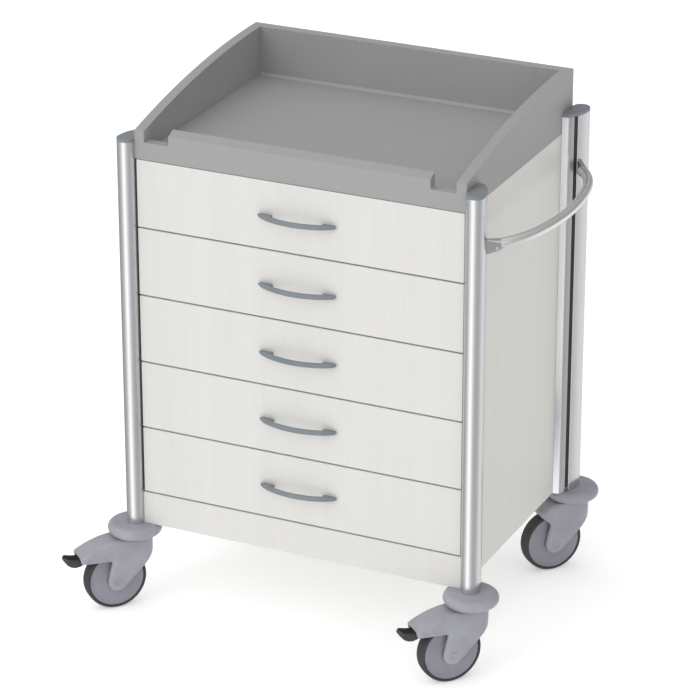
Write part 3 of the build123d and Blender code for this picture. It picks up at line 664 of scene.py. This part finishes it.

# %% [markdown]
# ## Groove strips
# A dark strip fills each post's groove. It is painted shade: a dark sheet that stands in for the shadow
# inside the groove. Its face lies a little below the lips and bows very slightly: a fourth power of the
# place across it keeps the middle flat and drops only the edges.


# %% Strips in the grooves
STRIP_BELOW = 1.0 * MM
STRIP_BOW = 0.5 * MM


def strip_outline(width):
    """Plan of a strip: flat back, and a face at depth STRIP_BELOW + STRIP_BOW * across to the fourth."""
    step = width - HEEL_OUT
    radius = (step**2 + HEEL_BACK**2) / (2 * step)
    turn = math.asin(GROOVE_BACK / radius)
    normal = np.array([math.cos(turn), math.sin(turn)])
    along = np.array([-normal[1], normal[0]])
    middle = np.array([width - radius + radius * math.cos(turn), radius * math.sin(turn)])
    spread = np.linspace(-1, 1, 9)
    depth = STRIP_BELOW + STRIP_BOW * spread**4
    face = middle + spread[:, None] * GROOVE_HALF * 0.99 * along - depth[:, None] * normal
    back = middle + np.array([[1.0], [-1.0]]) * GROOVE_HALF * 0.99 * along - GROOVE_DEPTH * 0.98 * normal
    return np.vstack([face, back])


# The strips are painted shade: dark sheets set in the grooves in place of the grooves' own shadow.
strips = []
for corner in corners:
    low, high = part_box("post_" + corner)
    outline = at_post(strip_outline(high.x - low.x), corner)
    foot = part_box("channel_strips")[0].z
    strips.append(np.stack([raised(outline, foot), raised(outline, high.z - 0.1 * MM)]))
surface_piece("groove_shade_strip_set", strips, painted_groove_shade, ["channel_strips"], sharp=50.0)
print("strips:", len(strips))

# %% [markdown]
# ## Push rail
# The rail is a bent tube: one long shallow bow, turned in at both ends towards the posts. Each end
# sits in a cast bracket that starts round and flares into a tall thin plate against the post. Both
# are one rounded section carried along the same line, with the section's height, thickness and
# squareness worked out for each station.

# %% Rail line
RAIL_RADIUS = 9.44 * MM
RAIL_END_OUT = 52.0 * MM
RAIL_REACH = 47.0 * MM
RAIL_HALF_SPAN = 194.0 * MM
RAIL_MIDDLE_HALF = 130.0 * MM
RAIL_MIDDLE_RADIUS = 520.0 * MM
TUBE_PAST_END = 15.0 * MM
FLARE_LENGTH = 37.0 * MM


def rail_line():
    """Plan of the rear half: middle arc, the arc that leaves it in line, a straight run to the post."""
    end_x = side_high.x + RAIL_END_OUT
    sag = RAIL_MIDDLE_RADIUS - math.sqrt(RAIL_MIDDLE_RADIUS**2 - RAIL_MIDDLE_HALF**2)
    centre = np.array([end_x + RAIL_REACH - RAIL_MIDDLE_RADIUS, middle_y])
    turn = np.linspace(0, math.asin(RAIL_MIDDLE_HALF / RAIL_MIDDLE_RADIUS), 16)
    middle = centre + RAIL_MIDDLE_RADIUS * np.stack([np.cos(turn), np.sin(turn)], -1)
    slope = RAIL_MIDDLE_HALF / RAIL_MIDDLE_RADIUS
    way = np.array([-slope, math.sqrt(1 - slope**2)])
    inward = np.array([-way[1], way[0]])
    start = np.array([end_x + RAIL_REACH - sag, middle_y + RAIL_MIDDLE_HALF])
    chord = np.array([end_x, middle_y + RAIL_HALF_SPAN]) - start
    radius = chord @ chord / (2 * chord @ inward)
    total = 2 * math.asin(np.linalg.norm(chord) / (2 * radius))
    turn = np.linspace(0, total, 22)[1:, None]
    shoulder = start + radius * (inward + np.sin(turn) * way - np.cos(turn) * inward)
    out = math.cos(total) * way + math.sin(total) * inward
    return np.vstack([middle, shoulder, shoulder[-1] + TUBE_PAST_END * out]), out


def carried(line, ways, height, half_across, half_up, squareness, steps=40):
    """Rounded section along a plan line: point = line + across * side normal + up * Z."""
    side = np.stack([ways[:, 1], -ways[:, 0], np.zeros(len(ways))], -1)
    spine = np.hstack([line, np.full((len(line), 1), height)])
    grid = []
    for place, normal, across, up, square in zip(spine, side, half_across, half_up, squareness):
        u, v = rounded_ring(steps, square)
        grid.append(place + across * u[:, None] * normal + up * v[:, None] * np.array([0, 0, 1.0]))
    return np.stack(grid)


def ways_along(line):
    """Unit directions along a line of points."""
    way = np.gradient(line, axis=0)
    return way / np.linalg.norm(way, axis=1)[:, None]


half_line, out_way = rail_line()
mirror_y = np.array([1.0, -1.0])
front_half = (half_line[1:] - [0, middle_y]) * mirror_y + [0, middle_y]
whole_line = np.vstack([front_half[::-1], half_line])
rail_low, rail_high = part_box("push_rail")
rail_height = (rail_low.z + rail_high.z) / 2
count = len(whole_line)
tube = carried(
    whole_line, ways_along(whole_line), rail_height,
    np.full(count, RAIL_RADIUS), np.full(count, RAIL_RADIUS), np.full(count, 2.15),
)
surface_piece("push_rail_tube", [tube], rail_metal, ["push_rail"], flats=False)
print("rail length", round(float(np.linalg.norm(np.diff(whole_line, axis=0), axis=1).sum()), 3))

# %% [markdown]
# ## Rail brackets
# Each end of the tube is held in a bracket: a sleeve round the tube that drops to a lobe for the
# screw, then opens to a tall thin plate at the post. It is the tube's own section again, carried a
# little further along the same straight line while its height grows and its thickness shrinks.


# %% Rail brackets and screws
BRACKET_BEFORE = 6.0 * MM
SLEEVE_SHARE = 0.12
LOBE_SHARE = 0.35


def quarter_round(share, length):
    """Rise from 0 to 1 like a quarter circle over the first length of share, then stay at 1."""
    return np.sqrt(1 - np.clip(1 - share / length, 0, 1) ** 2)


def bracket(rear):
    """Plate that wraps the tube's end, drops to a lobe for the screw and flares to the post.

    Its upper edge rises evenly, its lower edge falls fast at first, and its thickness closes
    from the tube's to a thin plate's.
    """
    flip = np.array([1.0, 1.0 if rear else -1.0])
    end = (half_line[-1] - [0, middle_y]) * flip + [0, middle_y]
    way = out_way * flip
    share = np.concatenate([[0, 0.008, 0.03, 0.07, 0.12, 0.18, 0.26], np.linspace(0.35, 1, 8)])
    along = share * FLARE_LENGTH - BRACKET_BEFORE
    ease = quarter_round(share, SLEEVE_SHARE)
    lobe = quarter_round(share, LOBE_SHARE)
    above = (9.0 + 6.5 * share**1.3) * MM
    below = (8.0 + 5.5 * lobe + 3.5 * share**1.5) * MM
    across = (9.9 - 5.9 * share**0.7) * MM * (0.9 + 0.1 * ease)
    line = end + along[:, None] * way
    ways = np.tile(way, (len(along), 1))
    grid = carried(line, ways, rail_height, across, (above + below) / 2, 2.3 + 2.4 * share)
    grid[..., 2] += ((above - below) / 2)[:, None]
    return grid, end, way


brackets = [bracket(True), bracket(False)]
bracket_grids = [grid for grid, _, _ in brackets]
surface_piece(
    "rail_bracket_pair", bracket_grids, bracket_metal, ["rail_brackets"], flats=False
)


def button_head(centre, axis, radius, rise, seat=0.0):
    """Domed screw head with a round key recess, standing on its seat along the axis."""
    dome = np.linspace(0, np.pi / 2, 7)
    outside = [(radius * math.cos(t), seat + rise * math.sin(t)) for t in dome[:6]]
    key = 0.42 * radius
    outside = [p for p in outside if p[0] > key]
    recess = [(key, seat + rise * 0.92), (key * 0.94, seat + rise * 0.35), (0, seat + rise * 0.3)]
    return turned([(0, seat - rise), (radius, seat - rise), *outside, *recess], 28, centre, axis)


SCREW_ALONG = 7.0 * MM
SCREW_DROP = 7.0 * MM
SCREW_SEAT = 6.8 * MM
SCREW_RADIUS = 4.0 * MM
SCREW_RISE = 1.6 * MM
screws = []
for _, end, way in brackets:
    side = np.array([abs(way[1]), -way[0] * math.copysign(1, way[1]), 0.0])
    place = np.array([*(end + way * SCREW_ALONG), rail_height - SCREW_DROP])
    screws.append(button_head(place, side, SCREW_RADIUS, SCREW_RISE, SCREW_SEAT))
surface_piece("rail_screw_heads", screws, zinc, ["rail_screws"], ends=False)
print("brackets:", len(brackets))

# %% [markdown]
# ## Bow handles
# A handle is a crescent: a flat band bent to an arc, thickest in the middle and thin at its rounded
# ends, with a foot behind each end that stands on the drawer. The band is a rounded section whose
# middle follows an arc halfway between its outer and inner arcs. Each foot is an eased block whose
# front is pushed onto that arc.

# %% Handle band and feet
HANDLE_HALF = 80.0 * MM
HANDLE_REACH = 30.0 * MM
BAND_THICK = 8.0 * MM
BAND_END = 6.0 * MM
BAND_TIP = 0.5 * MM
BAND_HALF_HEIGHT = 5.0 * MM
BAND_STATIONS = 61
SCREW_HALF = 64.0 * MM
FOOT_HALF = 13.0 * MM
FOOT_BELOW = 5.0 * MM
FOOT_ABOVE = 2.6 * MM
FOOT_ROUND = 2.6 * MM
FOOT_DEPTH = 12.0 * MM


def handle_band(centre):
    """Section carried along the arc; height and thickness fade to nothing at both tips."""
    ends = np.array([-HANDLE_HALF, HANDLE_HALF])
    reach = -HANDLE_REACH
    outer = arc_through((ends[0], -BAND_END), (0, reach), (ends[1], -BAND_END), BAND_STATIONS)
    inner = arc_through((ends[0], -BAND_TIP), (0, reach + BAND_THICK), (ends[1], -BAND_TIP), BAND_STATIONS)
    even = np.linspace(-1, 1, BAND_STATIONS)
    share = np.sign(even) * (1 - (1 - np.abs(even)) ** 1.35)
    outer = np.stack([np.interp(share, even, outer[:, k]) for k in (0, 1)], -1)
    inner = np.stack([np.interp(share, even, inner[:, k]) for k in (0, 1)], -1)
    line = (outer + inner) / 2
    fade = np.sqrt(np.clip(1 - np.abs(share) ** 9, 0, 1))
    thick = np.linalg.norm(outer - inner, axis=1) / 2 * np.clip(fade * 1.15, 0.02, 1)
    up = BAND_HALF_HEIGHT * np.clip(fade, 0.02, 1)
    line = line + np.array(centre)[:2]
    return carried(line, ways_along(line), centre[2], thick, up, np.full(BAND_STATIONS, 2.7), 32)


def handle_foot(centre, side):
    """Eased block from the drawer's face; its front follows the band's arc."""
    low = (side * SCREW_HALF - FOOT_HALF, -FOOT_DEPTH, -FOOT_BELOW)
    high = (side * SCREW_HALF + FOOT_HALF, 0.6 * MM, FOOT_ABOVE)
    unit = eased_board(low, high, FOOT_ROUND, 4)
    radius = (HANDLE_HALF**2 + (HANDLE_REACH - BAND_END) ** 2) / (2 * (HANDLE_REACH - BAND_END))
    sag = radius - np.sqrt(radius**2 - unit[..., 0] ** 2)
    front = FOOT_ROUND - (HANDLE_REACH - sag)
    unit[..., 1] = np.where(unit[..., 1] < 0, -unit[..., 1] / FOOT_DEPTH * front, unit[..., 1])
    return unit + np.array(centre)


def handle_screws(centre, inside):
    """Two pan heads inside the drawer."""
    return [
        button_head((centre[0] + side * SCREW_HALF, inside, centre[2]), (0, 1, 0), 4.5 * MM, 2.2 * MM)
        for side in (-1, 1)
    ]


for drawer in drawers:
    front_low, front_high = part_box(drawer + "_front")
    handle_low, handle_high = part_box(drawer + "_handle")
    centre = (middle_x, front_low.y, (handle_low.z + handle_high.z) / 2)
    grids = [handle_band(centre), handle_foot(centre, -1), handle_foot(centre, 1)]
    surface_piece(
        drawer + "_bow", grids, handle_lacquer, [drawer + "_handle"], sharp=50.0, flats=False
    )
    inside = front_high.y + 12.0 * MM
    heads = handle_screws(centre, inside)
    surface_piece(
        drawer + "_handle_screws", heads, zinc, [drawer + "_handle"], ends=False
    )
print("handles:", len(drawers))

# %% [markdown]
# ## Drawer boxes and slides
# Behind each front is a moulded box on two telescopic slides. They show only when a drawer is open,
# so a merged copy with eased edges is enough for the box, and the slides keep their own shape.

# %% Boxes and slides
for drawer in drawers:
    eased_copy(drawer + "_tub", drawer + "_box", 1.4 * MM, 2, box_plastic, 40.0)
    refinish(drawer + "_slide_inner", zinc)
    refinish(drawer + "_slide_middle", zinc)
refinish("slide_cabinet_members", zinc)
print("boxes:", len(drawers))

# %% [markdown]
# ## Casters
# A caster is four things: a round housing under the post, a fork that swivels under it, a wheel of a
# hub and a tyre, and on the front pair a brake pedal. The housing, hub and tyre are turned parts, so
# their shape is a profile. The fork is a soft moulding whose form comes from the engineering model.

# %% Housings
def housing_profile(bottom, top, radius):
    """Flat seat, small lip, crease, then a full round that rolls over to the top."""
    height = top - bottom
    roll = np.linspace(-0.92, 1, 22) * np.pi / 2
    middle = bottom + 0.54 * height
    half = 0.46 * height
    rim = [(radius - half * (1 - math.cos(t)) * 0.98, middle + half * math.sin(t)) for t in roll]
    lip = [(0, bottom), (radius - 14.0 * MM, bottom), (radius - 12.6 * MM, bottom + 0.5 * MM)]
    crown = [(radius - 20 * MM, top), (0, top)]
    return lip + rim + crown


plate_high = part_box("caster_plates")[1]
housings = []
for corner in corners:
    pivot = joints["swivel_" + corner]["pos_m"]
    post_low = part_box("post_" + corner)[0]
    radius = plate_high.x - joints["swivel_front_right"]["pos_m"][0]
    housings.append(turned(housing_profile(pivot[2], post_low.z, radius), 72, (pivot[0], pivot[1], 0)))
plates = ["caster_plates"]
surface_piece("caster_housing_set", housings, caster_nylon, plates, ends=False, sharp=40.0)
print("housings:", len(housings))

# %% [markdown]
# ## Wheels
# A caster wheel is a nylon disc with a rubber tyre moulded round it. Both are turned, so each is a
# half profile, mirrored to the other face. The disc is a ring of its own: a low boss, a shallow dish
# that a cosine eases at both ends, and a rim; the tyre's tread is crowned so that it runs on a line.


# %% Wheels
HUB_DISH = 1.6 * MM
HUB_FACE = 1.0 * MM
TYRE_THICKNESS = 7.5 * MM
TYRE_SHOULDER = 5.0 * MM
TYRE_CROWN = 0.5 * MM


def mirrored(half_profile):
    """Half profile (radius, along), then its mirror image backwards."""
    return half_profile + [(radius, -along) for radius, along in reversed(half_profile)]


def hub_profile(rim, half):
    """Near-flat disc: low boss, shallow dish eased by a cosine, ring at the rim; both faces alike."""
    boss = 0.36 * rim
    share = np.linspace(0, 1, 12)
    swing = HUB_DISH * (1 - np.cos(np.pi * share)) / 2
    level = half - HUB_FACE
    flat = [(0, half - 0.8 * MM), (boss * 0.8, half - 0.8 * MM)]
    slope = list(zip(boss + share * 9 * MM, level - swing))
    rise = list(zip(rim - 7 * MM + share * 4.5 * MM, level - HUB_DISH + swing))
    edge = [(rim - 0.6 * MM, half - 1.1 * MM), (rim, half - 1.6 * MM)]
    return mirrored(flat + slope + rise + edge)


def tyre_profile(radius, thickness, half):
    """Crowned tread, round shoulders, and a thin ring moulded into each face."""
    inner = radius - thickness
    across = np.linspace(0, 1, 5)
    turn = np.linspace(0, np.pi / 2, 9)[1:]
    tread = list(zip(radius - TYRE_CROWN * across**2, across * (half - TYRE_SHOULDER)))
    bend = radius - TYRE_CROWN - TYRE_SHOULDER * (1 - np.cos(turn))
    shoulder = list(zip(bend, half - TYRE_SHOULDER + TYRE_SHOULDER * np.sin(turn)))
    side = [(inner + 1.2 * MM, half), (inner + 0.7 * MM, half - 0.6 * MM), (inner, half - 0.8 * MM)]
    upper = tread + shoulder + side
    return upper + [(r, -z) for r, z in reversed(upper[1:])]


def wheel_of(corner):
    """Centre, axis, radius and width of a caster's wheel, from its box and its joint."""
    low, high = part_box("caster_" + corner + "_tyre")
    centre = np.array((low + high) / 2)
    axis = np.array(joints["wheel_" + corner + "_spin"]["axis"], float)
    radius = (high.z - low.z) / 2
    width = ((high.x - low.x) - 2 * radius * abs(axis[1])) / abs(axis[0])
    return centre, axis / np.linalg.norm(axis), radius, width


for corner in corners:
    centre, axis, radius, width = wheel_of(corner)
    tyre = turned(tyre_profile(radius, TYRE_THICKNESS, width / 2), 96, centre, axis)
    hub = turned(hub_profile(radius - TYRE_THICKNESS, width / 2), 96, centre, axis)
    name = f"caster_{corner}_"
    surface_piece(
        name + "tread", [tyre], tyre_rubber, [name + "tyre"], ring=True, sharp=40.0
    )
    surface_piece(name + "disc", [hub], hub_nylon, [name + "hub"], ends=False, sharp=50.0)
print("wheel width", round(width, 4), "radius", round(radius, 4))

# %% [markdown]
# ## Forks
# A fork trails behind its swivel pin at its own angle on each corner, so it is easiest to think in
# the caster's own frame: how far along the trail, how far along the axle, how high. Two small
# functions go between that frame and the cart's.


# %% Caster's own frame
def caster_frame(corner):
    """Swivel point on the floor, trail direction, axle direction."""
    centre, axis, _, _ = wheel_of(corner)
    pivot = np.array(joints["swivel_" + corner]["pos_m"])
    trail = centre - pivot
    trail[2] = 0
    return np.array([pivot[0], pivot[1], 0.0]), trail / np.linalg.norm(trail), axis


def at_caster(grid, corner):
    """Caster's own (trail, axle, up) to the cart's frame."""
    base, trail, axis = caster_frame(corner)
    return base + grid[..., :1] * trail + grid[..., 1:2] * axis + grid[..., 2:] * np.array([0, 0, 1.0])


print("caster frames ready, trail", np.round(caster_frame("front_left")[1], 3))

# %% [markdown]
# A die for a nylon fork has no sharp inner corner: where the leg leaves the hood the surface sweeps
# round. The copy is remeshed to even small quads, and a Smooth modifier works only near the crotch,
# the hip and the neck, by a weight that fades with distance.

# %% Forks
FORK_VOXEL = 1.3 * MM
# Along the trail, height and reach of the crotch, the hip, the neck and the lip, in millimetres.
SOFT_SPOTS = ((57.0, 106.0, 15.0), (-22.0, 98.0, 22.0), (-34.0, 114.0, 14.0), (120.0, 118.0, 10.0))
WEIGHT_STEPS = 10


def soft_fork(corner):
    """Evenly remeshed copy of the fork; weight = 1 - distance / reach from the nearest soft spot."""
    name = f"caster_{corner}_yoke"
    node = f"caster_{corner}_fork"
    source = eased_copy(name + "_rough", node, 0, 1, caster_nylon)
    remesh = source.modifiers.new("even_quads", "REMESH")
    remesh.mode = "VOXEL"
    remesh.voxel_size = FORK_VOXEL
    bpy.context.view_layer.update()
    shown = source.evaluated_get(bpy.context.evaluated_depsgraph_get())
    mesh = bpy.data.meshes.new_from_object(shown)
    mesh.name = name
    bpy.data.objects.remove(source)
    piece = dress(name, mesh, caster_nylon, [node], sharp=180.0, flats=False)
    points = np.empty(len(mesh.vertices) * 3)
    mesh.vertices.foreach_get("co", points)
    base, trail, _ = caster_frame(corner)
    offset = points.reshape(-1, 3) - base
    along, height = offset @ trail, offset[:, 2]
    weight = np.zeros(len(offset))
    for spot_along, spot_height, reach in SOFT_SPOTS:
        distance = np.hypot(along - spot_along * MM, height - spot_height * MM)
        weight = np.maximum(weight, np.clip(1 - distance / (reach * MM), 0, 1))
    for label, values, turns in (("all_over", np.ones(len(offset)), 3), ("soft_spots", weight, 60)):
        group = piece.vertex_groups.new(name=label)
        steps = np.round(values * WEIGHT_STEPS).astype(int)
        for step in range(1, WEIGHT_STEPS + 1):
            group.add(np.flatnonzero(steps == step).tolist(), step / WEIGHT_STEPS, "REPLACE")
        smooth = piece.modifiers.new(label, "SMOOTH")
        smooth.factor = 0.5
        smooth.iterations = turns
        smooth.vertex_group = label
    return piece


for corner in corners:
    yoke = soft_fork(corner)
    refinish(f"caster_{corner}_pins", caster_nylon)
print("forks:", len(corners), "faces each about", len(yoke.data.polygons))

# %% [markdown]
# ## Brake pedals
# A pedal is a scooped tongue that a shoe can press down or flick up, on a boss that turns on a pin
# under the hood. The tongue is a section carried between two arcs, its width rounded off at the tip,
# with ribs across it for grip.

# %% Pedals
PEDAL_HALF = 15.0 * MM
PEDAL_PIN_TRAIL = 104.0 * MM
BOSS_RADIUS = 8.0 * MM
BOSS_CHAMFER = 0.6 * MM
TIP_START = 0.62


def pedal_tongue(steps=44):
    """Sections between the lower and upper arcs; side walls up to the chord, ribs across the scoop."""
    low = arc_through((108.0, 112.0), (130.0, 103.5), (151.0, 121.5), steps) * MM
    high = arc_through((106.0, 120.0), (129.0, 110.0), (149.0, 127.0), steps) * MM
    share = np.linspace(0, 1, steps)
    past = np.clip((share - TIP_START) / (1 - TIP_START), 0, 1)
    half = PEDAL_HALF * np.sqrt(np.clip(1 - 0.97 * past**2.6, 0, 1))
    u, v = rounded_ring(48, 3.6)
    rib = 0.45 * MM * np.clip(np.sin(share * 2 * np.pi * 7), 0, 1) * (share > 0.25) * (share < 0.9)
    grid = []
    rim = high[0] + share[:, None] * (high[-1] - high[0])
    wall = np.clip((np.abs(u) - 0.66) / 0.2, 0, 1)[:, None]
    for lower, upper, edge, width, lift in zip(low, high, rim, half, rib):
        middle = (lower + upper) / 2
        rise = (upper - lower) / 2
        above = np.clip(v, 0, 1)[:, None]
        scoop = (lift - 0.7 * MM * (1 - u[:, None] ** 2)) * rise / np.linalg.norm(rise)
        body = middle + v[:, None] * rise + above * ((1 - wall) * scoop + wall * (edge - upper))
        grid.append(np.stack([body[:, 0], width * u, body[:, 1]], -1))
    return np.stack(grid)


for corner in ("front_left", "front_right"):
    pin = joints["brake_" + corner]["pos_m"]
    inner = PEDAL_HALF - BOSS_CHAMFER
    face = BOSS_RADIUS - BOSS_CHAMFER
    profile = [(0, -PEDAL_HALF), (face, -PEDAL_HALF), (BOSS_RADIUS, -inner)]
    profile += [(BOSS_RADIUS, inner), (face, PEDAL_HALF), (0, PEDAL_HALF)]
    boss = turned(profile, 40, (PEDAL_PIN_TRAIL, 0, pin[2]), (0, 1, 0))
    shoe_low = (PEDAL_PIN_TRAIL - 14 * MM, -11 * MM, pin[2] - 13 * MM)
    shoe_high = (PEDAL_PIN_TRAIL - 2 * MM, 11 * MM, pin[2] - 5 * MM)
    shoe = eased_board(shoe_low, shoe_high, 2 * MM)
    grids = [at_caster(grid, corner) for grid in (pedal_tongue(), boss, shoe)]
    name = f"caster_{corner}_"
    surface_piece(
        name + "tread_pedal", grids, pedal_nylon, [name + "pedal"], sharp=50.0
    )
print("pedals: 2")

# %% [markdown]
# ## Studio
# A product like this is lit by large soft boxes in a pale room: one from the left front and above,
# which makes the drawer faces the brightest, weaker ones on the right and on top, and a pale floor
# that throws light back up. A polished post shows the room, not a colour of its own. Seen from
# above, an upright post mirrors what lies low around it, so the room has a soft bright patch low in
# front and another low behind on the right, with grey between. The floor is left out of mirror
# reflections, because an even white floor would turn every post into a flat white strip.

# %% Floor, world and lights
def add_floor():
    """Wide pale floor under the cart, a very matt white that glows a little."""
    mesh = bpy.data.meshes.new("studio_floor")
    edge = 14.0
    spots = [(-edge, -edge, 0), (edge, -edge, 0), (edge, edge, 0), (-edge, edge, 0)]
    mesh.from_pydata(spots, [], [(0, 1, 2, 3)])
    f = Finish("studio_floor", Specular_IOR_Level=0.1)
    patches = f.noise(f.coords((0.4, 0.4, 0.4)))
    f.paint("Base Color", f.mix(patches, tint(243, 243, 243), tint(246, 246, 246)))
    f.paint("Roughness", 0.9)
    f.paint("Emission Color", (1, 1, 1, 1))
    f.paint("Emission Strength", 0.34)
    mesh.materials.append(f.material)
    floor = bpy.data.objects.new("studio_floor", mesh)
    bpy.context.scene.collection.objects.link(floor)
    floor.visible_glossy = False


class Room(Finish):
    """The same shader maths, on the world's nodes."""

    def __init__(self, name):
        world = bpy.data.worlds.new(name)
        world.use_nodes = True
        bpy.context.scene.world = world
        self.tree = world.node_tree
        self.shader = self.tree.nodes["Background"]


def add_world():
    """Pale room: an even level plus soft patches; a patch is ((1 + dot) / 2) to a power."""
    room = Room("pale_room")
    where = room.node("ShaderNodeTexCoord", {}, {}, "Generated")

    def patch(towards, power):
        towards = tuple(Vector(towards).normalized())
        dot = room.node(
            "ShaderNodeVectorMath", {"operation": "DOT_PRODUCT"}, {0: where, 1: towards}, "Value"
        )
        return room.node("ShaderNodeMath", {"operation": "POWER"}, {0: (dot + 1) * 0.5, 1: power})

    front_low = (-0.1, -0.92, -0.4)
    right_low = (0.5, 0.78, -0.4)
    above = patch((-0.3, -0.7, 0.65), 2.0) * 0.95 + 0.3
    below = patch(front_low, 2.0) * 0.45 + patch(front_low, 18.0) * 1.1
    below = below + patch(right_low, 6.0) * 0.75 + 0.3
    height = room.node("ShaderNodeSeparateXYZ", {}, {0: where}, "Z")
    rise = room.node(
        "ShaderNodeMapRange", {"clamp": True}, {"Value": height, "From Min": -0.15, "From Max": 0.0}
    )
    room.paint("Color", (1, 1, 1, 1))
    room.paint("Strength", below + (above - below) * rise)


def add_softbox(name, place, aim, size, power):
    """Square area light at a place, turned to face its aim."""
    data = bpy.data.lights.new(name, "AREA")
    data.shape = "RECTANGLE"
    data.size, data.size_y = size
    data.energy = power
    light = bpy.data.objects.new(name, data)
    light.location = place
    light.rotation_euler = (Vector(aim) - Vector(place)).to_track_quat("-Z", "Y").to_euler()
    bpy.context.scene.collection.objects.link(light)


add_floor()
add_world()
MIDDLE_HEIGHT = 0.55
add_softbox("key", (-1.6, -4.2, 3.4), (0, 0, MIDDLE_HEIGHT), (1.8, 2.6), 28)
add_softbox("side", (4.2, -1.2, 2.2), (0, 0, MIDDLE_HEIGHT), (1.0, 2.6), 10)
add_softbox("top", (0.2, 0.4, 4.2), (0, 0, 0.9), (2.4, 2.4), 12)
bpy.context.scene.view_settings.view_transform = "Standard"
